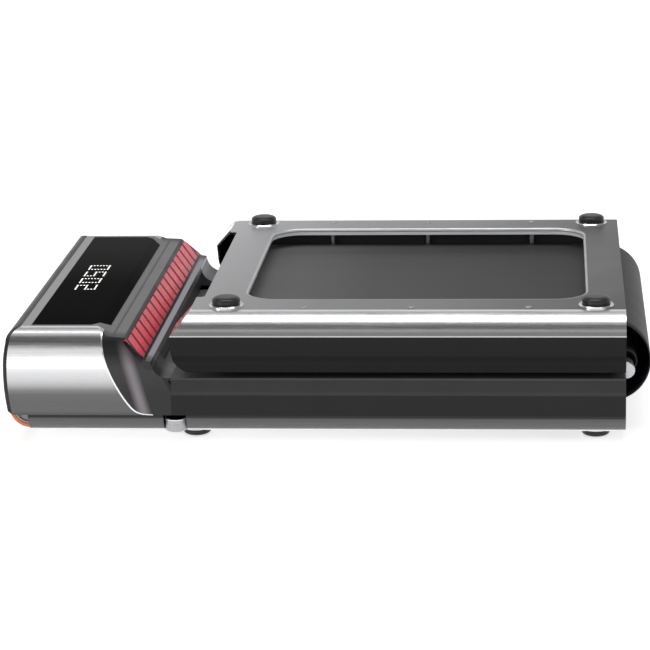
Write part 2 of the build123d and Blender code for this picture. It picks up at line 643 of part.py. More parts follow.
def cheek_area(shift_x, shift_z):
    """Area in front of the cheek's S-shaped edge, in (X, Z)."""
    low = BASE_Z + BAND_H
    top = HEAD_TOP_Z + 3
    edge = Spline((CHEEK_TOP_X, top), (CHEEK_TOP_X + 1.5, HEAD_TOP_Z - 21), (CHEEK_TOP_X + 13, MID_Z - 1.5),
                  (CHEEK_LOW_X - 30, low + 11.5), (CHEEK_LOW_X, low), tangents=((0, -1), (1, 0)))
    rest = Polyline((CHEEK_LOW_X, low), (CHEEK_LOW_X, low - 10), (-LENGTH, low - 10), (-LENGTH, top),
                    (CHEEK_TOP_X, top))
    return Pos(shift_x, shift_z) * make_face([edge, rest])


def end_area():
    """Strip along the head end and its lower corner, in (X, Z)."""
    outline = head_outline()
    strip = outline - Pos(END_STRIP, 0) * outline
    strip &= rect(-HALF_L - 1, -HALF_L + 30, 0, HEIGHT)
    return strip + (outline & rect(-HALF_L - 1, NOSE_X, 0, BASE_Z + BAND_H))


def wheel_notch():
    """Open lower corner of the head in front of a wheel."""
    low = BASE_Z + BAND_H
    face = polygon((-HALF_L - 1, 0), (NOSE_X, 0), (NOSE_X, low), (NOTCH_LOW_X, low),
                   (-HALF_L - 1, low + NOTCH_RISE))
    return slab(face, PLATE_HALF_W, HALF_W + 1)


def lens_area():
    """Strip along the light bar facet, in (X, Z)."""
    a = LENS_INSET
    d = HEAD_T + 0.2
    x0 = FACET_X0 + a
    z0 = FACET_Z0 - a
    x1 = FACET_X1 - a
    z1 = FACET_Z1 + a
    return polygon((x0 - d, z0 - d), (x1 - d, z1 - d), (x1 + d, z1 + d), (x0 + d, z0 + d))


def trim_bar_area():
    return rect(FACET_X1, HEAD_WALL_X + 1, FACET_Z1 - TRIM_BAR_H, FACET_Z1 + 1)


def glass():
    """Screen that follows the level top and the slope beside it."""
    fall = (HEAD_TOP_Z - STEP_Z) / (STEP_X - TOP_EDGE_X)
    z_end = HEAD_TOP_Z - (GLASS_X1 - TOP_EDGE_X) * fall
    side = polygon((GLASS_X0, HEAD_TOP_Z), (TOP_EDGE_X, HEAD_TOP_Z), (GLASS_X1, z_end),
                   (GLASS_X1, z_end - GLASS_T), (TOP_EDGE_X, HEAD_TOP_Z - GLASS_T),
                   (GLASS_X0, HEAD_TOP_Z - GLASS_T))
    pane = slab(side, -GLASS_HALF_W, GLASS_HALF_W)
    corner = GLASS_CORNER
    for s in (-1, 1):
        y = s * GLASS_HALF_W
        cut = polygon((GLASS_X1 - corner, y + s), (GLASS_X1 + 1, y + s), (GLASS_X1 + 1, y - s * corner))
        pane -= Pos(0, 0, MID_Z) * extrude(cut, HEIGHT)
    return pane


def head_pieces():
    """The head's skin, divided into covers that meet edge to edge."""
    shell = head_shell()
    sides = box(-HALF_L - 1, FAIRING_X + 1, CHEEK_Y, HALF_W + 1, 0, HEIGHT)
    wide = HALF_W + 1
    end_block = slab(end_area(), -wide, wide)
    shell -= wheel_notch()
    shell -= other_side(wheel_notch())
    arch = rod_y(WHEEL_X, WHEEL_Z, WHEEL_R + WHEEL_GAP, PLATE_HALF_W, WHEEL_Y1 + WHEEL_GAP)
    end_cap = (shell & end_block) - arch - other_side(arch)
    x0 = INLET_X0 - 5
    inlet_hole = box(x0, INLET_X0 + 10, INLET_Y - INLET_W / 2, INLET_Y + INLET_W / 2,
                     INLET_Z - INLET_H / 2, INLET_Z + INLET_H / 2)
    end_cap -= inlet_hole
    body = shell - end_block
    cheek_block = slab(cheek_area(0, 0), -wide, wide)
    trim_block = slab(cheek_area(TRIM_W, TRIM_W * 0.6), -wide, wide)
    right = body & sides
    left = body & other_side(sides)
    cheek_right = right & cheek_block
    cheek_left = left & cheek_block
    trim_right = (right & trim_block) - cheek_block
    trim_left = (left & trim_block) - cheek_block
    cover = body - (sides & trim_block) - (other_side(sides) & trim_block)
    lens_block = slab(lens_area(), -wide, wide)
    lens = cover & lens_block
    bar_block = slab(trim_bar_area(), -wide, wide)
    trim_bar = cover & bar_block
    pane = glass()
    x_a, x_b, y_a, y_b = WINDOW
    window = box(x_a, x_b, y_a, y_b, HEAD_TOP_Z - 10, HEAD_TOP_Z + 1)
    cover = cover - lens_block - bar_block - pane - window
    return {"head_end_cap": [end_cap], "head_cover": [cover], "cheek_panels": [cheek_left, cheek_right],
            "cheek_trims": [trim_left, trim_right], "light_bar_lens": [lens],
            "light_bar_trim": [trim_bar], "screen_glass": [pane]}


def display_board():
    """Circuit board under the screen, with its block of light dots."""
    x0, x1, y0, y1 = WINDOW
    dots_top = HEAD_TOP_Z - GLASS_T
    z0 = HEAD_TOP_Z - HEAD_T - DISPLAY_DROP
    z1 = z0 + BOARD_T
    board = box(x0 - 8, x1 + 8, y0 - 12, y1 + 12, z0, z1)
    dots = box(x0 + 3, x1 - 3, y0 + 3, y1 - 3, z1, dots_top)
    posts = [rod_z(x, y, POST_R, z1, HEAD_TOP_Z - HEAD_T)
             for x in (x0 - 4, x1 + 4) for y in (y0 - 8, y1 + 8)]
    for post in posts:
        board += post
    return board + dots


def light_board():
    """Narrow board of lamps flat behind the light bar lens."""
    mid_x = (FACET_X0 + FACET_X1) / 2
    mid_z = (FACET_Z0 + FACET_Z1) / 2
    depth = (HEAD_T + BOARD_T / 2) / 2 ** 0.5
    strip = Box(BOARD_T, 2 * LAMP_BOARD_HALF_L, LAMP_BOARD_W)
    return Pos(mid_x - depth, 0, mid_z - depth) * Rot(0, -45, 0) * strip


# ---------------------------------------------------------------- drive
def motor_housing():
    can = rod_y(MOTOR_X, MOTOR_Z, MOTOR_R, MOTOR_Y0, MOTOR_Y1)
    can -= rod_y(MOTOR_X, MOTOR_Z, MOTOR_R - MOTOR_WALL, MOTOR_Y0 + MOTOR_WALL, MOTOR_Y1 - MOTOR_WALL)
    return can - rod_y(MOTOR_X, MOTOR_Z, MOTOR_SHAFT_R + RUN_FIT, MOTOR_Y0 - 1, MOTOR_Y1 + 1)


def motor_rotor():
    shaft = rod_y(MOTOR_X, MOTOR_Z, MOTOR_SHAFT_R, MOTOR_Y0 - FAN_GAP - FAN_T, PULLEY_Y1)
    core = rod_y(MOTOR_X, MOTOR_Z, ROTOR_R, MOTOR_Y0 + ROTOR_INSET, MOTOR_Y1 - ROTOR_INSET)
    return shaft + core + pulley(MOTOR_X, MOTOR_Z, MOTOR_PULLEY_R, MOTOR_SHAFT_R)


def cooling_fan():
    """Hub with straight radial blades."""
    y1 = MOTOR_Y0 - FAN_GAP
    y0 = y1 - FAN_T
    root = FAN_HUB_R - FAN_BLADE_T
    blade = Pos((FAN_R + root) / 2, 0, 0) * Box(FAN_R - root, FAN_BLADE_T, FAN_T)
    fan = Part() + Cylinder(FAN_HUB_R, FAN_T)
    for i in range(FAN_BLADES):
        fan += Rot(0, 0, i * 360 / FAN_BLADES) * blade
    fan -= Cylinder(MOTOR_SHAFT_R, FAN_T + 2)
    return Pos(MOTOR_X, (y0 + y1) / 2, MOTOR_Z) * Rot(90, 0, 0) * fan


def motor_saddle():
    foot = box(MOTOR_X - SADDLE_HALF_L, MOTOR_X + SADDLE_HALF_L, MOTOR_Y0 + SADDLE_INSET,
               MOTOR_Y1 - SADDLE_INSET, BASE_Z + PLATE_T, MOTOR_Z - MOTOR_R * 0.55)
    return foot - rod_y(MOTOR_X, MOTOR_Z, MOTOR_R, MOTOR_Y0, MOTOR_Y1)


def pulley(x, z, r, bore):
    """Flanged pulley with a plain bore."""
    disc = rod_y(x, z, r, PULLEY_Y0, PULLEY_Y1)
    disc += rod_y(x, z, r + FLANGE_H, PULLEY_Y0, PULLEY_Y0 + FLANGE_T)
    disc += rod_y(x, z, r + FLANGE_H, PULLEY_Y1 - FLANGE_T, PULLEY_Y1)
    return disc - rod_y(x, z, bore, PULLEY_Y0 - 1, PULLEY_Y1 + 1)


def loop_face(r0, r1):
    """Area inside a tight loop around the motor pulley's axis and the roller's axis."""
    dx = ROLLER_DRIVE_X - MOTOR_X
    dz = ROLLER_Z - MOTOR_Z
    lean = acos((r0 - r1) / (dx ** 2 + dz ** 2) ** 0.5)
    base = atan2(dz, dx)
    corners = []
    for x, z, r, angle in ((MOTOR_X, MOTOR_Z, r0, base + lean), (MOTOR_X, MOTOR_Z, r0, base - lean),
                           (ROLLER_DRIVE_X, ROLLER_Z, r1, base - lean),
                           (ROLLER_DRIVE_X, ROLLER_Z, r1, base + lean)):
        corners.append((x + r * cos(angle), z + r * sin(angle)))
    ends = Pos(MOTOR_X, MOTOR_Z) * Circle(r0) + Pos(ROLLER_DRIVE_X, ROLLER_Z) * Circle(r1)
    return ends + polygon(*corners)


def drive_belt():
    """Ribbed belt from the motor pulley to the roller's pulley, between their flanges."""
    r0 = MOTOR_PULLEY_R + SKIN_GAP
    r1 = ROLLER_PULLEY_R + SKIN_GAP
    outer = slab(loop_face(r0 + DRIVE_BELT_T, r1 + DRIVE_BELT_T), PULLEY_Y0 + 1.5, PULLEY_Y1 - 1.5)
    return outer - slab(loop_face(r0, r1), PULLEY_Y0, PULLEY_Y1)


def controller_board():
    """Motor controller on four posts, with a choke and three capacitors."""
    z0 = BASE_Z + PLATE_T
    z1 = z0 + BOARD_STAND
    z2 = z1 + BOARD_T
    board = box(BOARD_X0, BOARD_X1, BOARD_Y0, BOARD_Y1, z1, z2)
    for x in (BOARD_X0 + BOARD_INSET, BOARD_X1 - BOARD_INSET):
        for y in (BOARD_Y0 + BOARD_INSET, BOARD_Y1 - BOARD_INSET):
            board += rod_z(x, y, BOARD_POST_R, z0, z1)
    for i in range(3):
        board += rod_z(BOARD_X1 - 14, BOARD_Y0 + 32 + CAPACITOR_STEP * i, CAPACITOR_R, z2, z2 + CAPACITOR_H)
    return board + box(BOARD_X0 + 8, BOARD_X0 + 8 + COIL_L, BOARD_Y1 - 14 - COIL_W, BOARD_Y1 - 14, z2, z2 + COIL_H)


def heat_sink():
    """Finned block on the controller board."""
    z0 = BASE_Z + PLATE_T + BOARD_STAND + BOARD_T
    x0 = BOARD_X0 + 2
    y0 = BOARD_Y0 + 10
    sink = box(x0, x0 + SINK_L, y0, y0 + SINK_W, z0, z0 + SINK_BASE_T)
    for i in range(FINS):
        x = x0 + FIN_STEP * i
        sink += box(x, x + FIN_T, y0, y0 + SINK_W, z0 + SINK_BASE_T, z0 + SINK_H)
    return sink


# ---------------------------------------------------------------- wheels, cups and power inlet
def wheel_tyre():
    y0 = WHEEL_Y1 - WHEEL_W
    tyre = rod_y(WHEEL_X, WHEEL_Z, WHEEL_R, y0, WHEEL_Y1)
    by_y = tyre.edges().filter_by(GeomType.CIRCLE).sort_by(Axis.Y)
    tyre = fillet(by_y[-1], WHEEL_SHOULDER)
    tyre = fillet(tyre.edges().filter_by(GeomType.CIRCLE).sort_by(Axis.Y)[0], 3)
    return tyre - rod_y(WHEEL_X, WHEEL_Z, WHEEL_HUB_R, y0 - 1, WHEEL_Y1 + 1)


def wheel_hub():
    y0 = WHEEL_Y1 - WHEEL_W
    hub = rod_y(WHEEL_X, WHEEL_Z, WHEEL_HUB_R, y0 + 1, WHEEL_Y1 - 1)
    dish = rod_y(WHEEL_X, WHEEL_Z, WHEEL_HUB_R - 3, WHEEL_Y1 - 4, WHEEL_Y1)
    dish -= rod_y(WHEEL_X, WHEEL_Z, PIN_HEAD_R + 1, WHEEL_Y1 - 5, WHEEL_Y1 + 1)
    return hub - dish - rod_y(WHEEL_X, WHEEL_Z, WHEEL_PIN_R + RUN_FIT, y0 - 1, WHEEL_Y1 + 1)


def wheel_pin():
    pin = rod_y(WHEEL_X, WHEEL_Z, WHEEL_PIN_R, FRAME_Y1, WHEEL_Y1)
    shoulder = rod_y(WHEEL_X, WHEEL_Z, PIN_HEAD_R, FRAME_Y1, WHEEL_Y1 - WHEEL_W)
    shoulder += rod_y(WHEEL_X, WHEEL_Z, PIN_FLANGE_R, FRAME_Y1, FRAME_Y1 + PIN_FLANGE_T)
    return pin + shoulder + rod_y(WHEEL_X, WHEEL_Z, PIN_HEAD_R, WHEEL_Y1 - 0.5, WHEEL_Y1 + PIN_HEAD_T)


def post_cup():
    """Round cup held on the frame rail by a lug."""
    y = HALF_W - CUP_R
    cup = rod_z(CUP_X, y, CUP_R, CUP_Z0, CUP_Z1)
    cup = fillet(cup.edges().sort_by(Axis.Z)[0], 4)
    cup += box(CUP_X - LUG_HALF_L, CUP_X + LUG_HALF_L, FRAME_Y1, y, CUP_Z0 + LUG_DROP, CUP_Z0 + LUG_DROP + LUG_H)
    return cup - rod_z(CUP_X, y, CUP_R - CUP_WALL, CUP_Z0 + CUP_FLOOR, CUP_Z1 + 1)


def rocker_place():
    return Location((INLET_X0 + 1, INLET_Y + ROCKER_OFFSET, INLET_Z))


def power_inlet():
    """Mains inlet and switch frame in one moulding, let into the head end."""
    body = box(INLET_X0, INLET_X0 + INLET_DEPTH, INLET_Y - INLET_W / 2, INLET_Y + INLET_W / 2,
               INLET_Z - INLET_H / 2, INLET_Z + INLET_H / 2)
    body -= box(INLET_X0 - 1, INLET_X0 + MOUTH_DEPTH, MOUTH_Y - MOUTH_W / 2, MOUTH_Y + MOUTH_W / 2,
                INLET_Z - MOUTH_H / 2, INLET_Z + MOUTH_H / 2)
    prong = Box(MOUTH_DEPTH - PRONG_SINK, PRONG_W, PRONG_H)
    for dy, dz in PRONGS:
        body += Pos(INLET_X0 + (MOUTH_DEPTH + PRONG_SINK) / 2, MOUTH_Y + dy, INLET_Z + dz) * prong
    room = Box(2 * ROCKER_SINK + 4, ROCKER_W + 1, ROCKER_H + 2)
    room += Rot(90, 0, 0) * Cylinder(ROCKER_PIVOT_R + RUN_FIT, ROCKER_W + 2 * ROCKER_PIVOT_L + 1)
    return body - Pos(ROCKER_PROUD, 0, 0) * (rocker_place() * room)


def power_rocker():
    paddle = Box(ROCKER_T, ROCKER_W, ROCKER_H)
    paddle = fillet(paddle.edges().filter_by(Axis.Y), 1.2)
    paddle += Rot(90, 0, 0) * Cylinder(ROCKER_PIVOT_R, ROCKER_W + 2 * ROCKER_PIVOT_L)
    return Pos(ROCKER_PROUD, 0, 0) * (rocker_place() * Rot(0, ROCKER_TILT, 0) * paddle)


# ---------------------------------------------------------------- nodes
def head_half_nodes():
    rail = frame_rail(FRAME_HEAD_X, ROLLER_DRIVE_X, BEARING_R, False)
    return {
        "bottom_plate": [plate(NOSE_X, False)],
        "frame_rails_head": both_sides(rail),
        "cross_members_head": cross_members(MEMBERS_HEAD),
        "deck_cushions_head": cushions(MEMBERS_HEAD),
        "deck_board_head": [deck_board(DECK_HEAD_X)],
        "deck_spacers_head": spacers(),
        "plate_screws_head": plate_screws(),
        "foot_pucks_head": at_feet(foot_puck, FEET_HEAD_X),
        "foot_rings_head": at_feet(foot_ring, FEET_HEAD_X),
        "side_bands_head": both_sides(side_band_head()),
        "side_covers_head": both_sides(side_cover_head()),
        "hinge_brackets_head": both_sides(knuckle(FRAME_Y0, FRAME_Y0 + 12)),
        "hinge_pins": both_sides(hinge_pin()),
        "belt_head_run": [belt_run(ROLLER_DRIVE_X)],
        "belt_fold_runs": [half_pipe(FOLD_X, FOLD_RADIUS, FOLD_RADIUS - BELT_T),
                           half_pipe(HINGE_X, WALK_DROP + BELT_T, WALK_DROP)],
        "roller_bearings_head": both_sides(roller_bearing(FRAME_Y0, FRAME_Y1)),
        "drive_belt": [drive_belt()],
        "motor_housing": [motor_housing()],
        "motor_saddle": [motor_saddle()],
        "controller_board": [controller_board()],
        "heat_sink": [heat_sink()],
        "display_board": [display_board()],
        "light_board": [light_board()],
        "power_inlet": [power_inlet()],
        "wheel_pins": both_sides(wheel_pin()),
        "post_cups": both_sides(post_cup()),
    }


def tail_half_nodes():
    rail = frame_rail(FRAME_TAIL_X, ROLLER_TAIL_X, TAIL_AXLE_R, True)
    pieces = {
        "tail_plate": [plate(TAIL_PLATE_X, True)],
        "frame_rails_tail": both_sides(rail),
        "tension_bolts": both_sides(tension_bolt()),
        "cross_members_tail": cross_members(MEMBERS_TAIL),
        "deck_cushions_tail": cushions(MEMBERS_TAIL),
        "deck_board_tail": [deck_board(DECK_TAIL_X)],
        "deck_spacers_tail": spacers(),
        "plate_screws_tail": plate_screws(),
        "foot_pucks_tail": at_feet(foot_puck, FEET_TAIL_X),
        "foot_rings_tail": at_feet(foot_ring, FEET_TAIL_X),
        "side_bands_tail": both_sides(side_band_tail()),
        "side_covers_tail": both_sides(side_cover_tail()),
        "tail_end_caps": both_sides(tail_end_cap()),
        "hinge_brackets_tail": both_sides(knuckle(FRAME_Y0 + 12 + KNUCKLE_GAP, FRAME_Y1)),
        "belt_tail_run": [belt_run(ROLLER_TAIL_X)],
        "tail_axle": [rod_y(ROLLER_TAIL_X, ROLLER_Z, TAIL_AXLE_R, -FRAME_Y1, FRAME_Y1)],
        "tail_roller": [tail_roller()],
        "tail_roller_bearings": both_sides(tail_bearing(ROLLER_HALF_L - 16, ROLLER_HALF_L - 2)),
    }
    return {name: [other_half(s) for s in solids] for name, solids in pieces.items()}


def moving_nodes():
    return {
        "drive_roller": [drive_roller()],
        "roller_pulley": [pulley(ROLLER_DRIVE_X, ROLLER_Z, ROLLER_PULLEY_R, DRIVE_SHAFT_R)],
        "motor_rotor": [motor_rotor()],
        "cooling_fan": [cooling_fan()],
        "wheel_tyre_right": [wheel_tyre()],
        "wheel_hub_right": [wheel_hub()],
        "wheel_tyre_left": [other_side(wheel_tyre())],
        "wheel_hub_left": [other_side(wheel_hub())],
        "power_rocker": [power_rocker()],
    }


def write(nodes):
    os.makedirs("parts", exist_ok=True)
    for name, solids in nodes.items():
        single = []
        for shape in solids:
            single += list(shape.solids())
        body = single[0] if len(single) == 1 else Compound(children=single)
        body.label = name
        export_step(body, f"parts/{name}.step")


nodes = {}
nodes.update(head_half_nodes())
nodes.update(head_pieces())
nodes.update(tail_half_nodes())
nodes.update(moving_nodes())
write(nodes)
print(len(nodes), "nodes")
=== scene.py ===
import json
import math

import bpy
import numpy as np
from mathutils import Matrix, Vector


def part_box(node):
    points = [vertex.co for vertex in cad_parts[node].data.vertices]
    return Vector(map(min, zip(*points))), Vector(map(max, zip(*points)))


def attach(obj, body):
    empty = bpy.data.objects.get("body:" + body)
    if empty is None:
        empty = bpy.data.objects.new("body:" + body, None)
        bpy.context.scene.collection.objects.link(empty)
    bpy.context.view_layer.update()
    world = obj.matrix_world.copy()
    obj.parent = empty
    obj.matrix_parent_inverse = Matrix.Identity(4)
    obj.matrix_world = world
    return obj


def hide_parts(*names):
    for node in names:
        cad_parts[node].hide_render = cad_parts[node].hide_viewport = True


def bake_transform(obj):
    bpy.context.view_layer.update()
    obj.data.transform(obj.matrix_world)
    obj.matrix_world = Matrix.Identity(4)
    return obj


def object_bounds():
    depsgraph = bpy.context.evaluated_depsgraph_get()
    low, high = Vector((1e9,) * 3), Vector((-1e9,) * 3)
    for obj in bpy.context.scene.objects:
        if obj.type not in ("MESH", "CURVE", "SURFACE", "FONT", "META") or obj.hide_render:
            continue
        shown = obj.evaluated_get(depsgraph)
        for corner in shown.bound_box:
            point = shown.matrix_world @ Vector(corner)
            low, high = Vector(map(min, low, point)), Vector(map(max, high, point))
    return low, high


# Looks of the fold-in-half walking treadmill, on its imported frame. Metres, +Z up, +X towards the fold.
# Order: camera, floor and lights; finishes; new pieces; then the calls that build it all.

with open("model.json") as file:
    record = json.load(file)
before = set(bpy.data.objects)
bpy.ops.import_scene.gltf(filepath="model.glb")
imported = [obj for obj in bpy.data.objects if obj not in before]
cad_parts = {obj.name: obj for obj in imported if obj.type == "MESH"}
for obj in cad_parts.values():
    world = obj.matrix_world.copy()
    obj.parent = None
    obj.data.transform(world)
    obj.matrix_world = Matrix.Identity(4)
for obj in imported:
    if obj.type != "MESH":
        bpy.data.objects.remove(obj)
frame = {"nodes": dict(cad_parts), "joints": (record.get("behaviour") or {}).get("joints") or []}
cad_low, cad_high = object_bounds()
MM = 0.001
MID_Z = (cad_low.z + cad_high.z) / 2          # level of the gap between the two folded halves
HINGE = Vector(next(j["pos_m"] for j in frame["joints"] if j["name"] == "fold_hinge"))

FLOOR_HALF = 14.0
FLOOR_GAP = 0.1 * MM          # the floor lies this far under the feet
BELT_THICK = 1.6 * MM
PUCK_R = 19.0 * MM
OPENING_R = 45.0 * MM         # corner radius of the plates' openings
OPENING_FROM_HEAD = 318.5 * MM
OPENING_FROM_FOLD = 84.5 * MM
OPENING_FROM_SIDE = 88.0 * MM
SIDE_ROUND = 34.0 * MM        # width over which the head's top rounds down to its side
SIDE_CREASE = 17.5 * MM       # the rounding starts this far above the middle level
RIB_COUNT = 18
RIB_WIDTH = 8.5 * MM
RIB_SLIDE = 24.0 * MM         # how far a rib moves along Y on its way down the facet
DOT_PITCH = 4.6 * MM
DOT_STRETCH = 1.2             # dots lie further apart across the screen than along it


# ---------------------------------------------------------------- camera, floor and lights
def add_camera():
    """The one camera: a long lens on the near side, looking slightly down."""
    data = bpy.data.cameras.new("camera")
    data.lens = 146.18
    data.sensor_width = 36.0
    camera = bpy.data.objects.new("camera", data)
    camera.location = (0.3051152, -3.6622168, 1.0884229)
    camera.rotation_euler = (1.30470573, 0.02295258, 0.0835248)
    bpy.context.scene.collection.objects.link(camera)
    bpy.context.scene.camera = camera


def add_floor():
    """Large level square, a hair under the feet."""
    z = cad_low.z - FLOOR_GAP
    corners = [(x * FLOOR_HALF, y * FLOOR_HALF, z) for x, y in ((-1, -1), (1, -1), (1, 1), (-1, 1))]
    mesh = bpy.data.meshes.new("floor")
    mesh.from_pydata(corners, [], [(0, 1, 2, 3)])
    floor = bpy.data.objects.new("floor", mesh)
    bpy.context.scene.collection.objects.link(floor)
    paper = bpy.data.materials.new("floor_paper")
    paper.use_nodes = True
    shader = paper.node_tree.nodes["Principled BSDF"]
    shader.inputs["Base Color"].default_value = (0.75, 0.75, 0.755, 1)
    shader.inputs["Roughness"].default_value = 0.9
    shader.inputs["Specular IOR Level"].default_value = 0.1
    shader.inputs["Emission Color"].default_value = (1, 1, 1, 1)
    shader.inputs["Emission Strength"].default_value = 0.68
    mesh.materials.append(paper)


def add_softbox(name, place, aim, size, power):
    """Rectangular lamp at place, facing aim."""
    data = bpy.data.lights.new(name, "AREA")
    data.shape = "RECTANGLE"
    data.size, data.size_y = size
    data.energy = power
    lamp = bpy.data.objects.new(name, data)
    lamp.location = place
    lamp.rotation_euler = (Vector(aim) - Vector(place)).to_track_quat("-Z", "Y").to_euler()
    bpy.context.scene.collection.objects.link(lamp)


def add_studio():
    """Pale room by height: bright near the floor, a softer belt, bright again, dim above, bright overhead."""
    world = bpy.data.worlds.new("studio")
    bpy.context.scene.world = world
    world.use_nodes = True
    nodes = world.node_tree.nodes
    links = world.node_tree.links
    place = nodes.new("ShaderNodeTexCoord")
    split = nodes.new("ShaderNodeSeparateXYZ")
    links.new(place.outputs["Generated"], split.inputs[0])
    height = nodes.new("ShaderNodeValToRGB")
    links.new(split.outputs["Z"], height.inputs[0])
    steps = ((0.0, 1.15), (0.13, 1.1), (0.19, 0.62), (0.30, 0.62), (0.38, 1.0), (0.50, 0.9),
             (0.58, 0.3), (0.86, 0.3), (0.93, 1.0), (1.0, 1.1))
    fill_ramp(height, [(at, (v, v, v * 1.005, 1)) for at, v in steps])
    links.new(height.outputs[0], nodes["Background"].inputs["Color"])
    nodes["Background"].inputs["Strength"].default_value = 0.85


def fill_ramp(ramp, stops):
    """Sets a colour ramp's stops from (position, colour) pairs."""
    elements = ramp.color_ramp.elements
    while len(elements) > 1:
        elements.remove(elements[-1])
    elements[0].position, elements[0].color = stops[0]
    for position, colour in stops[1:]:
        elements.new(position).color = colour


# ---------------------------------------------------------------- finishes
class Finish:
    """One material, with short calls for the nodes that it is made of."""

    def __init__(self, name, colour, roughness, metallic=0.0, **uniform):
        self.material = bpy.data.materials.new(name)
        self.material.use_nodes = True
        self.tree = self.material.node_tree
        self.shader = self.tree.nodes["Principled BSDF"]
        self.shader.inputs["Base Color"].default_value = (*colour, 1)
        self.shader.inputs["Roughness"].default_value = roughness
        self.shader.inputs["Metallic"].default_value = metallic
        for socket, value in uniform.items():
            self.shader.inputs[socket.replace("_", " ")].default_value = value
        self.place = self.tree.nodes.new("ShaderNodeTexCoord").outputs["Object"]

    def node(self, kind, links=None, **settings):
        made = self.tree.nodes.new(kind)
        for key, value in settings.items():
            setattr(made, key, value)
        for socket, value in (links or {}).items():
            if isinstance(value, bpy.types.NodeSocket):
                self.tree.links.new(value, made.inputs[socket])
            else:
                made.inputs[socket].default_value = value
        return made

    def stretched(self, scale, turn=(0, 0, 0)):
        """Object place scaled apart along each axis."""
        links = {"Vector": self.place, "Scale": scale, "Rotation": turn}
        return self.node("ShaderNodeMapping", links).outputs[0]

    def noise(self, scale, stretch=(1, 1, 1), detail=3.0):
        links = {"Vector": self.stretched(stretch), "Scale": scale, "Detail": detail}
        return self.node("ShaderNodeTexNoise", links).outputs[0]

    def axis(self, name):
        return self.node("ShaderNodeSeparateXYZ", {0: self.place}).outputs[name]

    def math(self, operation, a, b=0.0, c=0.0):
        return self.node("ShaderNodeMath", {0: a, 1: b, 2: c}, operation=operation).outputs[0]

    def spread(self, value, low, high, to_low=0.0, to_high=1.0):
        """Value carried from one range to another, held at the ends."""
        links = {"Value": value, "From Min": low, "From Max": high, "To Min": to_low, "To Max": to_high}
        return self.node("ShaderNodeMapRange", links).outputs[0]

    def ramp(self, value, stops):
        made = self.node("ShaderNodeValToRGB", {0: value})
        fill_ramp(made, [(at, colour if len(colour) == 4 else (*colour, 1)) for at, colour in stops])
        return made.outputs[0]

    def mix(self, share, a, b, blend="MIX"):
        made = self.node("ShaderNodeMix", data_type="RGBA", blend_type=blend)
        for index, value in ((0, share), (6, a), (7, b)):
            if isinstance(value, bpy.types.NodeSocket):
                self.tree.links.new(value, made.inputs[index])
            else:
                made.inputs[index].default_value = value
        return made.outputs[2]

    def colour(self, socket):
        self.tree.links.new(socket, self.shader.inputs["Base Color"])

    def rough(self, socket):
        self.tree.links.new(socket, self.shader.inputs["Roughness"])

    def bump(self, height, distance, strength=1.0, edge=0.0):
        """Relief of the given depth over edges softened by a small radius."""
        links = {"Height": height, "Distance": distance, "Strength": strength}
        if edge:
            links["Normal"] = self.node("ShaderNodeBevel", {"Radius": edge}, samples=4).outputs[0]
        made = self.node("ShaderNodeBump", links)
        self.tree.links.new(made.outputs[0], self.shader.inputs["Normal"])


def grey(v):
    """A grey tone with a trace of blue."""
    return (v, v, v * 1.01, 1)


def tones(finish, axis, low, high, stops):
    """Grey tones laid along one axis between two levels."""
    share = finish.spread(finish.axis(axis), low, high)
    return finish.ramp(share, [(at, grey(v)) for at, v in stops])


def brushed(finish, base):
    """Fine lines along the length over a tone, with a few longer broad streaks."""
    grain = 0.10
    fine = finish.noise(1.0, (9, 1500, 1500), 4.0)
    broad = finish.noise(1.0, (1.6, 150, 150), 2.0)
    lines = finish.math("MULTIPLY_ADD", finish.math("SUBTRACT", fine, 0.5), grain * 2, 1.0)
    lines = finish.math("MULTIPLY_ADD", finish.math("SUBTRACT", broad, 0.5), grain, lines)
    finish.colour(finish.mix(1.0, base, lines, "MULTIPLY"))
    finish.rough(finish.spread(fine, 0.3, 0.7, 0.20, 0.38))
    finish.bump(fine, 0.03 * MM, 0.35, 0.5 * MM)
    return finish.material


def band_metal(name, low, high, stops):
    """Brushed band metal with painted reflections: light and dark tone bands laid between two levels."""
    finish = Finish(name, (0.7, 0.7, 0.7), 0.28, 1.0)
    return brushed(finish, tones(finish, "Z", low, high, stops))


def sheet_metal():
    """Satin sheet with painted light: paler towards the far side and the head, with a painted highlight, near
    white and less metallic, on the wall round its opening; faint rolling marks and handling haze."""
    finish = Finish("satin_sheet", (0.4, 0.4, 0.41), 0.42, 0.85)
    # Painted light: paler towards the far side, and through fall paler towards the head.
    base = tones(finish, "Y", cad_low.y, cad_high.y, ((0, 0.28), (0.5, 0.34), (1, 0.42)))
    low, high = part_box("tail_plate")
    fall = tones(finish, "X", low.x, high.x, ((0, 1.5), (0.3, 1.05), (0.55, 0.9), (0.85, 0.55), (1, 0.4)))
    base = finish.mix(1.0, base, fall, "MULTIPLY")
    # Painted highlight: faces below the plate's top, on the wall round the opening, turn near white and less
    # metallic.
    level = finish.math("ABSOLUTE", finish.math("SUBTRACT", finish.axis("Z"), MID_Z))
    depth = finish.math("SUBTRACT", level, high.z - MID_Z)
    lip = finish.math("LESS_THAN", depth, -0.5 * MM)
    base = finish.mix(lip, base, (0.9, 0.9, 0.91, 1))
    metal = finish.math("MULTIPLY_ADD", lip, -0.8, 0.85)
    finish.tree.links.new(metal, finish.shader.inputs["Metallic"])
    marks = finish.noise(1.0, (60, 900, 900), 3.0)
    haze = finish.noise(7.0, (1, 1, 1), 4.0)
    base = finish.mix(1.0, base, finish.spread(marks, 0.2, 0.8, 0.94, 1.05), "MULTIPLY")
    finish.colour(finish.mix(1.0, base, finish.spread(haze, 0.3, 0.7, 0.95, 1.04), "MULTIPLY"))
    finish.rough(finish.spread(haze, 0.3, 0.7, 0.36, 0.48))
    finish.bump(marks, 0.02 * MM, 0.3, 0.6 * MM)
    return finish.material


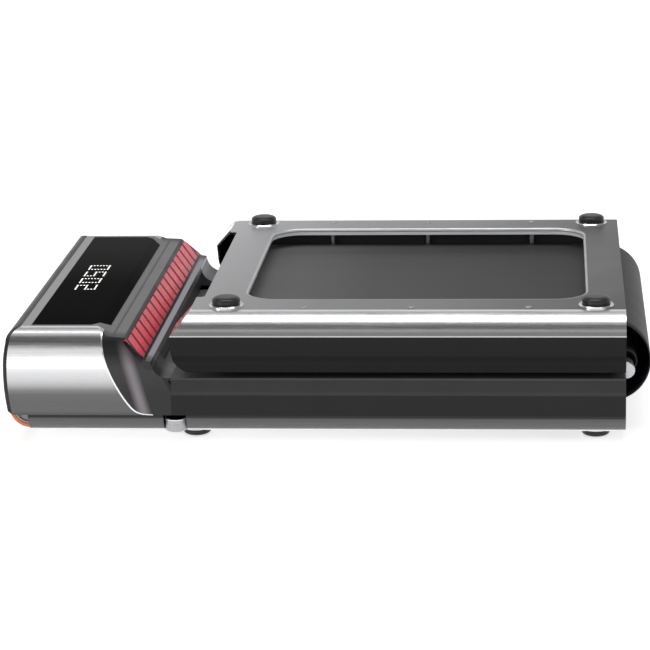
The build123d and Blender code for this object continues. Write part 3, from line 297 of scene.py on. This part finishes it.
def moulded(name, colour, roughness, grain=1100.0, depth=0.05):
    """Moulded plastic: fine spark grain, cloudy gloss, rounded edges."""
    finish = Finish(name, colour, roughness, Specular_IOR_Level=0.3)
    pits = finish.node("ShaderNodeTexVoronoi", {"Vector": finish.place, "Scale": grain}).outputs["Distance"]
    cloud = finish.noise(14.0)
    tint = finish.spread(cloud, 0.3, 0.7, 0.88, 1.1)
    finish.colour(finish.mix(1.0, (*colour, 1), tint, "MULTIPLY"))
    finish.rough(finish.spread(cloud, 0.3, 0.7, roughness - 0.05, roughness + 0.06))
    finish.bump(pits, depth * MM, 0.35, 0.7 * MM)
    return finish.material


def trim_grey():
    """Blue-grey moulding with painted shade: it darkens where it turns down the head's sides."""
    finish = Finish("trim_grey", (0.26, 0.26, 0.29), 0.32, Specular_IOR_Level=0.3)
    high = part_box("light_bar_trim")[1]
    out = finish.spread(finish.math("ABSOLUTE", finish.axis("Y")), high.y - SIDE_ROUND, high.y - 8 * MM)
    grain = finish.noise(500.0)
    # Painted shade: the tone falls to near black as the trim turns down the head's sides.
    base = finish.ramp(out, [(0.0, (0.26, 0.26, 0.29)), (0.5, (0.09, 0.09, 0.10)),
                             (1.0, (0.02, 0.02, 0.022))])
    finish.colour(finish.mix(1.0, base, finish.spread(grain, 0.3, 0.7, 0.94, 1.06), "MULTIPLY"))
    finish.rough(finish.spread(grain, 0.3, 0.7, 0.28, 0.36))
    finish.bump(grain, 0.02 * MM, 0.3, 0.8 * MM)
    return finish.material


def cover_black(name, node, stops):
    """Satin black cover with painted light and shade: its facets differ a little in tone from its lower edge
    up.
    """
    finish = Finish(name, (0.02, 0.02, 0.02), 0.4, Specular_IOR_Level=0.12)
    low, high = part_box(node)
    cloud = finish.noise(14.0)
    grain = finish.noise(900.0)
    # Painted light and shade: tone steps by height on the cover's facets.
    base = tones(finish, "Z", low.z, high.z, stops)
    finish.colour(finish.mix(1.0, base, finish.spread(cloud, 0.3, 0.7, 0.94, 1.06), "MULTIPLY"))
    finish.rough(finish.spread(cloud, 0.3, 0.7, 0.36, 0.46))
    finish.bump(grain, 0.03 * MM, 0.35, 0.8 * MM)
    return finish.material


def cast_cup():
    """Silver lacquer on a casting, with a painted white highlight along its rim and painted shade, near
    black, inside its bore.
    """
    finish = Finish("cast_cup", (0.4, 0.4, 0.41), 0.3, 0.25)
    low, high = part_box("post_cups")
    radius = (high.x - low.x) / 2
    dx = finish.math("SUBTRACT", finish.axis("X"), (low.x + high.x) / 2)
    dy = finish.math("SUBTRACT", finish.math("ABSOLUTE", finish.axis("Y")), high.y - radius)
    squares = finish.math("ADD", finish.math("MULTIPLY", dx, dx), finish.math("MULTIPLY", dy, dy))
    across = finish.math("SQRT", squares)
    # Painted shade: near black inside the bore, above its floor.
    bore = finish.math("LESS_THAN", across, radius - 2.2 * MM)
    floor = finish.math("GREATER_THAN", finish.axis("Z"), low.z + 2 * MM)
    bore_shade = finish.math("MULTIPLY", bore, floor)
    sand = finish.noise(600.0)
    metal = finish.ramp(sand, [(0.3, (0.36, 0.36, 0.37)), (0.7, (0.46, 0.46, 0.47))])
    # Painted highlight: a white line along the rim.
    rim = finish.math("GREATER_THAN", finish.axis("Z"), high.z - 1.2 * MM)
    metal = finish.mix(rim, metal, (0.95, 0.95, 0.95, 1))
    finish.colour(finish.mix(bore_shade, metal, (0.01, 0.01, 0.01, 1)))
    finish.rough(finish.spread(sand, 0.3, 0.7, 0.24, 0.36))
    finish.bump(sand, 0.02 * MM, 0.3, 0.5 * MM)
    return finish.material


def plain_metal(name, colour, roughness):
    """Turned or polished metal with fine scratches and a faint change of gloss."""
    finish = Finish(name, colour, roughness, 1.0)
    scratch = finish.noise(1.0, (700, 90, 700), 5.0)
    cloud = finish.noise(22.0)
    finish.colour(finish.mix(1.0, (*colour, 1), finish.spread(cloud, 0.3, 0.7, 0.9, 1.05), "MULTIPLY"))
    finish.rough(finish.spread(scratch, 0.3, 0.7, roughness * 0.75, roughness * 1.3))
    finish.bump(scratch, 0.01 * MM, 0.4, 0.4 * MM)
    return finish.material


def rubber(name, colour, roughness, pitch, depth, stretch=(1, 1, 1)):
    """Rubber with a small raised grain and a dusty, uneven sheen."""
    finish = Finish(name, colour, roughness, Specular_IOR_Level=0.35)
    links = {"Vector": finish.stretched(stretch), "Scale": 1 / pitch}
    grain = finish.node("ShaderNodeTexVoronoi", links).outputs[0]
    dust = finish.noise(9.0, (1, 1, 1), 5.0)
    finish.colour(finish.mix(1.0, (*colour, 1), finish.spread(dust, 0.35, 0.75, 0.85, 1.25), "MULTIPLY"))
    finish.rough(finish.spread(dust, 0.3, 0.7, roughness - 0.06, roughness + 0.08))
    finish.bump(grain, depth, 0.5, 0.8 * MM)
    return finish.material


def belt_weave():
    """Running belt: diamond grain from two crossed waves, faint lengthwise wear, and painted light that makes
    it greyer towards the head.
    """
    finish = Finish("belt_weave", (0.035, 0.035, 0.036), 0.55, Specular_IOR_Level=0.22)
    ridges = []
    for turn in (-1, 1):
        turned = finish.stretched((1, 1, 1), (0, 0, turn * math.radians(32)))
        links = {"Vector": turned, "Scale": 130.0, "Distortion": 0.4}
        ridges.append(finish.node("ShaderNodeTexWave", links, bands_direction="X").outputs[1])
    wear = finish.noise(1.0, (2, 26, 2), 3.0)
    low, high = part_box("tail_plate")
    # Painted light: the tone is greyer towards the head and darker towards the fold.
    base = tones(finish, "X", low.x, high.x,
                 ((0, 0.12), (0.2, 0.10), (0.4, 0.065), (0.8, 0.042), (1, 0.035)))
    finish.colour(finish.mix(1.0, base, finish.spread(wear, 0.3, 0.7, 0.9, 1.15), "MULTIPLY"))
    finish.rough(finish.spread(wear, 0.3, 0.7, 0.52, 0.6))
    finish.bump(finish.math("MAXIMUM", *ridges), 0.12 * MM, 0.3)
    return finish.material


def head_paint():
    """Cover plastic with painted light and shade: a painted grey top where it faces the light, painted shade
    black over the shoulder, charcoal down the side with one painted soft streak of highlight, a painted light
    strip and a thin groove line beside the screen, and a silver bezel beyond it."""
    finish = Finish("head_paint", (0.02, 0.02, 0.021), 0.34, Specular_IOR_Level=0.3)
    low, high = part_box("head_cover")
    screen_low, screen_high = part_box("screen_glass")
    x = finish.axis("X")
    z = finish.axis("Z")
    out = finish.math("ABSOLUTE", finish.axis("Y"))
    # Painted light and shade on the side by height: near black over the shoulder, charcoal lower down.
    steps = ((0, 0.019), (0.28, 0.02), (0.4, 0.028), (0.55, 0.034), (0.66, 0.02), (0.75, 0.008), (1, 0.008))
    side = tones(finish, "Z", low.z, high.z, steps)
    # Painted highlight: one soft streak of light slanting down the side.
    fall = finish.math("SUBTRACT", high.z, z)
    line = finish.math("MULTIPLY_ADD", fall, 0.264, screen_high.x + 21 * MM)
    away = finish.math("ABSOLUTE", finish.math("SUBTRACT", x, line))
    streak = finish.math("MULTIPLY", finish.spread(away, 11 * MM, 2 * MM),
                         finish.spread(z, high.z - 10 * MM, high.z - 48 * MM))
    side = finish.mix(streak, side, (0.20, 0.18, 0.195, 1))
    # Painted light on top: grey where the top faces the light, a lighter strip on the slope beside the
    # screen, then a thin dark groove line.
    beside = finish.spread(x, screen_high.x, screen_high.x + 40 * MM)
    top = finish.ramp(beside, [(0.0, (0.13, 0.13, 0.132)), (0.2, (0.11, 0.11, 0.112)),
                               (0.22, (0.02, 0.02, 0.02)), (0.27, (0.02, 0.02, 0.02)),
                               (0.3, (0.12, 0.12, 0.123)), (1.0, (0.10, 0.10, 0.103))])
    base = finish.mix(finish.spread(out, high.y - 42 * MM, high.y - 20 * MM), top, side)
    bezel = finish.math("MULTIPLY", finish.math("LESS_THAN", x, screen_low.x - 0.2 * MM),
                        finish.math("GREATER_THAN", z, high.z - 14 * MM))
    links = {"Vector": finish.place, "Scale": 1100.0}
    pits = finish.node("ShaderNodeTexVoronoi", links).outputs["Distance"]
    cloud = finish.noise(14.0)
    base = finish.mix(bezel, base, (0.42, 0.42, 0.43, 1))
    finish.colour(finish.mix(1.0, base, finish.spread(cloud, 0.3, 0.7, 0.94, 1.05), "MULTIPLY"))
    finish.tree.links.new(bezel, finish.shader.inputs["Metallic"])
    finish.rough(finish.spread(cloud, 0.3, 0.7, 0.30, 0.38))
    finish.bump(pits, 0.04 * MM, 0.3, 1.2 * MM)
    return finish.material


def lamp_lens():
    """Red diffuser: brighter down its middle, with a soft glow of its own and black ends."""
    finish = Finish("lamp_lens", (0.8, 0.06, 0.09), 0.22, Specular_IOR_Level=0.25)
    low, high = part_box("light_bar_lens")
    across = finish.spread(finish.axis("X"), low.x, high.x)
    red = finish.ramp(across, [(0.0, (0.42, 0.015, 0.03)), (0.25, (0.62, 0.035, 0.06)),
                               (0.6, (0.66, 0.045, 0.07)), (1.0, (0.50, 0.02, 0.035))])
    links = {"Vector": finish.place, "Scale": 160.0}
    flutes = finish.node("ShaderNodeTexWave", links, bands_direction="Y").outputs[1]
    out = finish.math("ABSOLUTE", finish.axis("Y"))
    red = finish.mix(finish.math("GREATER_THAN", out, high.y - 9 * MM), red, (0.01, 0.004, 0.006, 1))
    finish.colour(finish.mix(1.0, red, finish.spread(flutes, 0, 1, 0.86, 1.06), "MULTIPLY"))
    finish.tree.links.new(red, finish.shader.inputs["Emission Color"])
    finish.shader.inputs["Emission Strength"].default_value = 0.3
    finish.rough(finish.spread(flutes, 0, 1, 0.18, 0.3))
    finish.bump(flutes, 0.15 * MM, 0.4)
    return finish.material


def screen_black():
    """Dark glass, with a painted reflection that makes it a little paler towards the far end, and faint
    smears in its gloss.
    """
    finish = Finish("screen_black", (0.012, 0.012, 0.015), 0.16, Specular_IOR_Level=0.0)
    smear = finish.noise(1.0, (18, 5, 18), 4.0)
    # Painted reflection: a little paler towards the far end.
    finish.colour(tones(finish, "Y", cad_low.y, cad_high.y,
                        ((0, 0.008), (0.45, 0.012), (0.8, 0.03), (1, 0.035))))
    finish.rough(finish.spread(smear, 0.3, 0.7, 0.12, 0.24))
    finish.bump(smear, 0.02 * MM, 0.1, 0.8 * MM)
    return finish.material


def glow_white():
    """Warm white that gives its own light."""
    finish = Finish("glow_white", (1, 1, 1), 0.4)
    edge = finish.noise(900.0)
    finish.colour(finish.spread(edge, 0.2, 0.8, 0.9, 1.0))
    finish.shader.inputs["Emission Color"].default_value = (1, 0.98, 0.93, 1)
    finish.shader.inputs["Emission Strength"].default_value = 1.4
    return finish.material


def dark_board():
    """Film-faced board: brown-black face and pale ply edges in layers."""
    finish = Finish("dark_board", (0.05, 0.035, 0.03), 0.5)
    links = {"Vector": finish.place, "Scale": 210.0, "Distortion": 1.5}
    layer = finish.node("ShaderNodeTexWave", links, bands_direction="Z").outputs[1]
    weave = finish.noise(1.0, (300, 40, 300), 4.0)
    share = finish.math("MULTIPLY", layer, weave)
    finish.colour(finish.mix(share, (0.03, 0.022, 0.02, 1), (0.16, 0.10, 0.06, 1)))
    finish.rough(finish.spread(weave, 0.3, 0.7, 0.42, 0.6))
    finish.bump(weave, 0.05 * MM, 0.3)
    return finish.material


def circuit():
    """Green solder mask with copper tracks showing as paler lines."""
    finish = Finish("circuit", (0.02, 0.12, 0.06), 0.35)
    links = {"Vector": finish.place, "Color1": (0.015, 0.10, 0.05, 1), "Color2": (0.02, 0.14, 0.07, 1),
             "Mortar": (0.08, 0.30, 0.14, 1), "Scale": 60.0, "Mortar Size": 0.03}
    tracks = finish.node("ShaderNodeTexBrick", links)
    finish.colour(tracks.outputs["Color"])
    finish.rough(finish.spread(finish.noise(120.0), 0.3, 0.7, 0.28, 0.5))
    finish.bump(tracks.outputs["Fac"], 0.05 * MM, 0.4)
    return finish.material


def dress(material, *nodes):
    """Gives one finish to CAD nodes."""
    for name in nodes:
        mesh = frame["nodes"][name].data
        mesh.materials.clear()
        mesh.materials.append(material)


def dress_frame(foot_rubber):
    """Every CAD node gets its finish."""
    # Painted reflections: the steps below lay bright and dark bands by height on the two bands and the
    # cheeks.
    low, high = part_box("side_bands_head")
    steps = ((0, 0.3), (0.09, 0.3), (0.11, 1.0), (0.22, 1.0), (0.25, 0.15), (0.6, 0.13), (0.82, 0.1),
             (0.9, 0.035), (1, 0.035))
    dress(band_metal("lower_band", low.z, high.z, steps), "side_bands_head")
    low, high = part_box("side_bands_tail")
    steps = ((0, 0.6), (0.04, 0.5), (0.08, 0.16), (0.2, 0.27), (0.3, 0.45), (0.42, 0.36), (0.62, 0.45),
             (0.7, 0.85), (0.8, 1.0), (1, 1.0))
    dress(band_metal("upper_band", low.z, high.z, steps), "side_bands_tail")
    low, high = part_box("cheek_panels")
    steps = ((0, 0.085), (0.05, 0.115), (0.17, 0.12), (0.25, 0.13), (0.3, 0.19), (0.36, 0.37), (0.4, 0.47),
             (0.5, 0.6), (0.56, 0.7), (0.58, 1.0), (0.76, 1.0), (0.81, 0.8), (0.85, 0.4), (0.89, 0.2),
             (0.92, 0.12), (0.95, 0.16), (0.97, 0.5), (1, 1.0))
    dress(band_metal("cheek_metal", low.z, high.z, steps), "cheek_panels")
    dress(sheet_metal(), "bottom_plate", "tail_plate")
    dress(plain_metal("bright_trim", (0.82, 0.82, 0.83), 0.14),
          "cheek_trims", "foot_rings_head", "foot_rings_tail", "tail_end_caps")
    # Painted light and shade on the side covers: the lower cover's chamfer is lightened, with a painted
    # highlight along its top edge; the upper cover is darker lower down.
    steps = ((0, 0.019), (0.7, 0.02), (0.72, 0.042), (0.96, 0.045), (0.98, 0.075), (1, 0.075))
    dress(cover_black("lower_cover_black", "side_covers_head", steps), "side_covers_head")
    steps = ((0, 0.006), (0.3, 0.0065), (0.33, 0.012), (1, 0.014))
    dress(cover_black("upper_cover_black", "side_covers_tail", steps), "side_covers_tail")
    dress(head_paint(), "head_cover")
    dress(moulded("end_black", (0.02, 0.02, 0.021), 0.38), "head_end_cap", "power_inlet", "power_rocker")
    dress(trim_grey(), "light_bar_trim")
    dress(lamp_lens(), "light_bar_lens")
    dress(screen_black(), "screen_glass")
    dress(foot_rubber, "foot_pucks_head", "foot_pucks_tail", "deck_cushions_head", "deck_cushions_tail")
    dress(belt_weave(), "belt_head_run", "belt_tail_run")
    ribbed = (0.05, 1, 0.05)
    dress(rubber("drive_rubber", (0.012, 0.012, 0.012), 0.5, 1.6 * MM, 0.2 * MM, ribbed), "drive_belt")
    dress(rubber("tyre_orange", (0.62, 0.13, 0.03), 0.5, 1.4 * MM, 0.1 * MM),
          "wheel_tyre_left", "wheel_tyre_right")
    dress(moulded("hub_grey", (0.32, 0.33, 0.34), 0.4), "wheel_hub_left", "wheel_hub_right")
    dress(dark_board(), "deck_board_head", "deck_board_tail")
    dress(moulded("powder_black", (0.02, 0.02, 0.022), 0.5, 500.0, 0.08),
          "frame_rails_head", "frame_rails_tail", "cross_members_head", "cross_members_tail", "motor_saddle")
    dress(plain_metal("machined_steel", (0.5, 0.5, 0.51), 0.3),
          "hinge_brackets_head", "hinge_brackets_tail", "hinge_pins", "deck_spacers_head",
          "deck_spacers_tail", "plate_screws_head", "plate_screws_tail", "drive_roller",
          "roller_bearings_head", "tail_roller", "tail_roller_bearings", "tail_axle", "tension_bolts",
          "wheel_pins", "motor_rotor")
    dress(plain_metal("aluminium", (0.66, 0.67, 0.68), 0.35), "heat_sink", "roller_pulley")
    dress(cast_cup(), "post_cups")
    dress(moulded("motor_enamel", (0.04, 0.04, 0.045), 0.3, 300.0, 0.05), "motor_housing")
    dress(moulded("fan_plastic", (0.03, 0.03, 0.03), 0.45), "cooling_fan")
    dress(circuit(), "controller_board", "display_board", "light_board")


# ---------------------------------------------------------------- new pieces
def add_piece(name, points, faces, material, slot_name):
    """A mesh object at the origin from an array of points and an array of faces."""
    mesh = bpy.data.meshes.new(name)
    mesh.from_pydata(points.reshape(-1, 3).tolist(), [], faces.tolist())
    mesh.polygons.foreach_set("use_smooth", np.full(len(mesh.polygons), True))
    mesh.update()
    mesh.materials.append(material)
    piece = bpy.data.objects.new(name, mesh)
    bpy.context.scene.collection.objects.link(piece)
    return piece


def grid_faces(rows, columns, wrap=False):
    """Quads between neighbouring points of a grid; wrap joins the last column to the first."""
    a = np.arange(rows * columns).reshape(rows, columns)
    b = np.roll(a, -1, axis=1)
    if not wrap:
        a, b = a[:, :-1], b[:, :-1]
    return np.stack([a[:-1], a[1:], b[1:], b[:-1]], axis=-1).reshape(-1, 4)


def repeated(faces, points_each, count):
    """The same faces for each of several equal groups of points."""
    return (faces[None] + points_each * np.arange(count)[:, None, None]).reshape(-1, 4)


def strip_loop(centre_x, centre_z, r_out, r_in, half_width, steps):
    """A half turn of belt: a closed flat loop (outside, edge, inside, edge) carried round an angle from
    straight down, through +X, to straight up. In X and Z a point is centre + radius * (sin, -cos)."""
    columns = 24
    angle = np.linspace(0, math.pi, steps)[:, None]
    across = np.linspace(-half_width, half_width, columns)
    y = np.concatenate([across, across[::-1]])[None, :]
    r = np.concatenate([np.full(columns, r_out), np.full(columns, r_in)])[None, :]
    x = centre_x + r * np.sin(angle)
    z = centre_z - r * np.cos(angle)
    points = np.stack([x, np.broadcast_to(y, x.shape), z], axis=-1)
    return points, grid_faces(steps, 2 * columns, wrap=True)


def add_fold_belt(material):
    """The belt's outer and inner turns at the fold, each bending from one half to the other."""
    low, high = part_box("belt_fold_runs")
    outer_r = (high.z - low.z) / 2
    inner_r = HINGE.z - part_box("belt_head_run")[1].z
    wide = strip_loop(low.x, MID_Z, outer_r, outer_r - BELT_THICK, high.y, 64)
    tight = strip_loop(HINGE.x, MID_Z, inner_r + BELT_THICK, inner_r, high.y, 40)
    outer = add_piece("belt_fold_outside", *wide, material, "belt_rubber")
    inner = add_piece("belt_fold_inside", *tight, material, "belt_rubber")
    for piece, top, bottom in ((outer, high.z, low.z), (inner, MID_Z + inner_r, MID_Z - inner_r)):
        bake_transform(piece)
        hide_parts("belt_fold_runs")


COUNT_SHOWN = "2050"
DIGITS = {
    "0": ("11111", "10001", "10001", "10001", "10001", "10001", "11111"),
    "2": ("11111", "00001", "00001", "11111", "10000", "10000", "11111"),
    "5": ("11111", "10000", "10000", "11111", "00001", "00001", "11111"),
}


def add_display_digits(material):
    """Dot-matrix count on the screen. Columns run along +Y and rows along +X. A dot is a low dome: rings of
    falling radius and rising height about its centre."""
    rows = ["00".join(DIGITS[digit][row] for digit in COUNT_SHOWN) for row in range(len(DIGITS["0"]))]
    lit = np.array([[dot == "1" for dot in row] for row in rows])
    row, column = np.nonzero(lit)
    board_low, board_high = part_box("display_board")
    middle = (board_low + board_high) / 2
    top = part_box("screen_glass")[1].z
    x = middle.x + (row - (lit.shape[0] - 1) / 2) * DOT_PITCH
    y = middle.y + (column - (lit.shape[1] - 1) / 2) * DOT_PITCH * DOT_STRETCH
    sides = 12
    angle = np.linspace(0, 2 * math.pi, sides, endpoint=False)
    radius = np.array([1.5, 1.35, 0.8, 0.05])[:, None] * MM
    rise = np.array([-0.1, 0.1, 0.2, 0.22])[:, None] * MM
    level = np.broadcast_to(rise, (len(rise), sides))
    dome = np.stack([radius * np.cos(angle), radius * np.sin(angle), level], axis=-1)
    centres = np.stack([x, y, np.full(len(x), top)], axis=-1)
    points = centres[:, None, None, :] + dome[None]
    faces = repeated(grid_faces(len(rise), sides, wrap=True)[:, ::-1], level.size, len(x))
    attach(add_piece("display_digits", points, faces, material, "screen_black"), "head_half")


def add_foot_domes(material):
    """Rounded rubber feet in place of the plain pucks: one outline turned about each foot's axis. Away from
    the plate the radius swells as R * (0.92 + 0.08 * sin), then closes over a quarter ellipse to the tip."""
    sides = 48
    bend = np.linspace(0, math.pi / 2, 9)
    wall = np.linspace(0, math.pi / 2, 6)[:-1]
    r = np.concatenate([0.92 + 0.08 * np.sin(wall), 0.55 + 0.45 * np.cos(bend), [0.02]])
    rise = np.concatenate([0.62 * wall / (math.pi / 2), 0.62 + 0.38 * np.sin(bend), [1.0]])
    angle = np.linspace(0, 2 * math.pi, sides, endpoint=False)
    for half, plate_side in (("head", 1), ("tail", -1)):
        low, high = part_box("foot_pucks_" + half)
        x, y = np.meshgrid([low.x + PUCK_R, high.x - PUCK_R], [low.y + PUCK_R, high.y - PUCK_R])
        start, tip = (high.z, low.z) if plate_side == 1 else (low.z, high.z)
        around = np.stack([np.cos(angle), -plate_side * np.sin(angle)], axis=-1) * PUCK_R
        ring = r[:, None, None] * around[None]
        z = np.broadcast_to((start + (tip - start) * rise)[:, None, None], ring.shape[:2] + (1,))
        dome = np.concatenate([ring, z], axis=-1)
        centres = np.stack([x.ravel(), y.ravel(), np.zeros(x.size)], axis=-1)
        points = centres[:, None, None, :] + dome[None]
        faces = repeated(grid_faces(len(r), sides, wrap=True)[:, ::-1], len(r) * sides, x.size)
        piece = add_piece("foot_domes_" + half, points, faces, material, "foot_rubber")
        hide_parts("foot_pucks_" + half)
        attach(piece, half + "_half")


def add_rolled_lips(material):
    """Rolled lip round each plate's opening: a section carried along a rounded rectangle. Above its foot the
    section is 2.5 mm * cos(a) in from the wall and 4.3 mm * sin(a) up, for a from 0 to a quarter turn. At
    corner angle t the wall is at corner centre + R * (cos t, sin t), and straight runs join the corners."""
    x_low = cad_low.x + OPENING_FROM_HEAD + OPENING_R
    x_high = cad_high.x - OPENING_FROM_FOLD - OPENING_R
    y_high = cad_high.y - OPENING_FROM_SIDE - OPENING_R
    steps = 15
    roll = np.linspace(0, math.pi / 2, 8)
    inset = np.concatenate([[0], 2.5 * np.cos(roll), [-0.8]])[:, None] * MM
    rise = np.concatenate([[-5], 4.3 * np.sin(roll) - 4, [0.05]])[:, None] * MM
    quarter = np.linspace(0, math.pi / 2, steps)
    turn = (np.arange(4)[:, None] * math.pi / 2 + quarter[None]).ravel()[None, :]
    centre_x = np.repeat([x_high, x_low, x_low, x_high], steps)[None, :]
    centre_y = np.repeat([y_high, y_high, -y_high, -y_high], steps)[None, :]
    x = centre_x + (OPENING_R - inset) * np.cos(turn)
    y = centre_y + (OPENING_R - inset) * np.sin(turn)
    up = np.broadcast_to(rise, x.shape)
    faces = grid_faces(len(inset), turn.size, wrap=True)
    tail = np.stack([x, y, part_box("tail_plate")[1].z + up], axis=-1)
    head = np.stack([x, y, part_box("bottom_plate")[0].z - up], axis=-1)
    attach(add_piece("rolled_lip_tail", tail, faces, material, "bare_sheet"), "tail_half")
    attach(add_piece("rolled_lip_head", head, faces[:, ::-1], material, "bare_sheet"), "head_half")


def head_side_level(y):
    """Height of the head's rounded side at some Y: a quarter ellipse from its crease up."""
    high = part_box("head_cover")[1]
    flat = high.y - SIDE_ROUND
    crease = MID_Z + SIDE_CREASE
    out = np.clip((np.abs(y) - flat) / (high.y - flat), 0, 1)
    return crease + (high.z - crease) * np.sqrt(1 - out ** 2)


def add_light_ribs(material):
    """Dark slanted ribs over the light bar: each a low ridge whose height over the facet is a half sine of
    the place across it, and whose Y slides on the way down. At the ends they bend down the rounded sides."""
    top, foot, sum_xz = light_facet()
    across = np.linspace(0, 1, 6)
    down = np.linspace(0, 1, 9)
    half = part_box("head_cover")[1].y - 8 * MM
    reach = half + 6 * MM
    centre = np.linspace(-half, half, RIB_COUNT)
    k, v, u = np.meshgrid(centre, down, across, indexing="ij")
    x = top + v * (foot - top)
    y = np.clip(k + (u - 0.5) * RIB_WIDTH - (v - 0.5) * RIB_SLIDE, -reach, reach)
    z = np.minimum(sum_xz - x, head_side_level(y)) + 0.5 * MM * np.sin(math.pi * u) + 0.1 * MM
    points = np.stack([x, y, z], axis=-1)
    ridge = grid_faces(down.size, across.size)[:, ::-1]
    faces = repeated(ridge, down.size * across.size, RIB_COUNT)
    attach(add_piece("light_bar_ribs", points, faces, material, "dark_cover"), "head_half")


def light_facet():
    """X of the light bar's upper and lower edges, and the sum of X and Z that holds all over its slope."""
    corner_low, corner_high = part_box("light_bar_trim")
    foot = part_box("light_bar_lens")[1].x
    sum_xz = corner_low.x + corner_high.z
    top = sum_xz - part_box("light_bar_lens")[1].z
    return top, foot, sum_xz


def add_light_frame(material):
    """Two black beads along the light bar's long edges: half-round in section, at the facet's level across
    the middle and on the quarter ellipse down each side."""
    top, foot, sum_xz = light_facet()
    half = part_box("head_cover")[1].y - 12 * MM
    bend = np.linspace(-math.pi / 2, math.pi / 2, 61)
    y = (half * np.sin(bend))[:, None]
    around = np.linspace(0, math.pi, 7)[None, :]
    beads = (("light_bar_upper_bead", top, 2.2 * MM), ("light_bar_lower_bead", foot, 1.2 * MM))
    for name, edge, radius in beads:
        x = edge + radius * np.cos(around) + 0 * y
        z = np.minimum(sum_xz - x, head_side_level(y)) + 0.35 * MM * np.sin(around)
        points = np.stack([x, np.broadcast_to(y, x.shape), z + 0.05 * MM], axis=-1)
        faces = grid_faces(y.size, around.size)[:, ::-1]
        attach(add_piece(name, points, faces, material, "dark_cover"), "head_half")


# ---------------------------------------------------------------- build
add_camera()
add_floor()
add_studio()
add_softbox("overhead", (0.0, -0.1, 2.4), (0, 0, 0.1), (2.4, 1.0), 24.0)
add_softbox("front_left", (-2.4, -2.2, 1.3), (0, 0, 0.1), (1.0, 1.2), 14.0)
foot_rubber = rubber("foot_rubber", (0.016, 0.016, 0.017), 0.3, 1.1 * MM, 0.03 * MM)
dress_frame(foot_rubber)
add_foot_domes(foot_rubber)
add_fold_belt(belt_weave())
add_display_digits(glow_white())
rib_black = moulded("rib_black", (0.012, 0.008, 0.012), 0.4)
add_light_ribs(rib_black)
add_light_frame(rib_black)
add_rolled_lips(plain_metal("rolled_edge", (0.66, 0.66, 0.67), 0.42))
bpy.context.scene.view_settings.view_transform = "Standard"
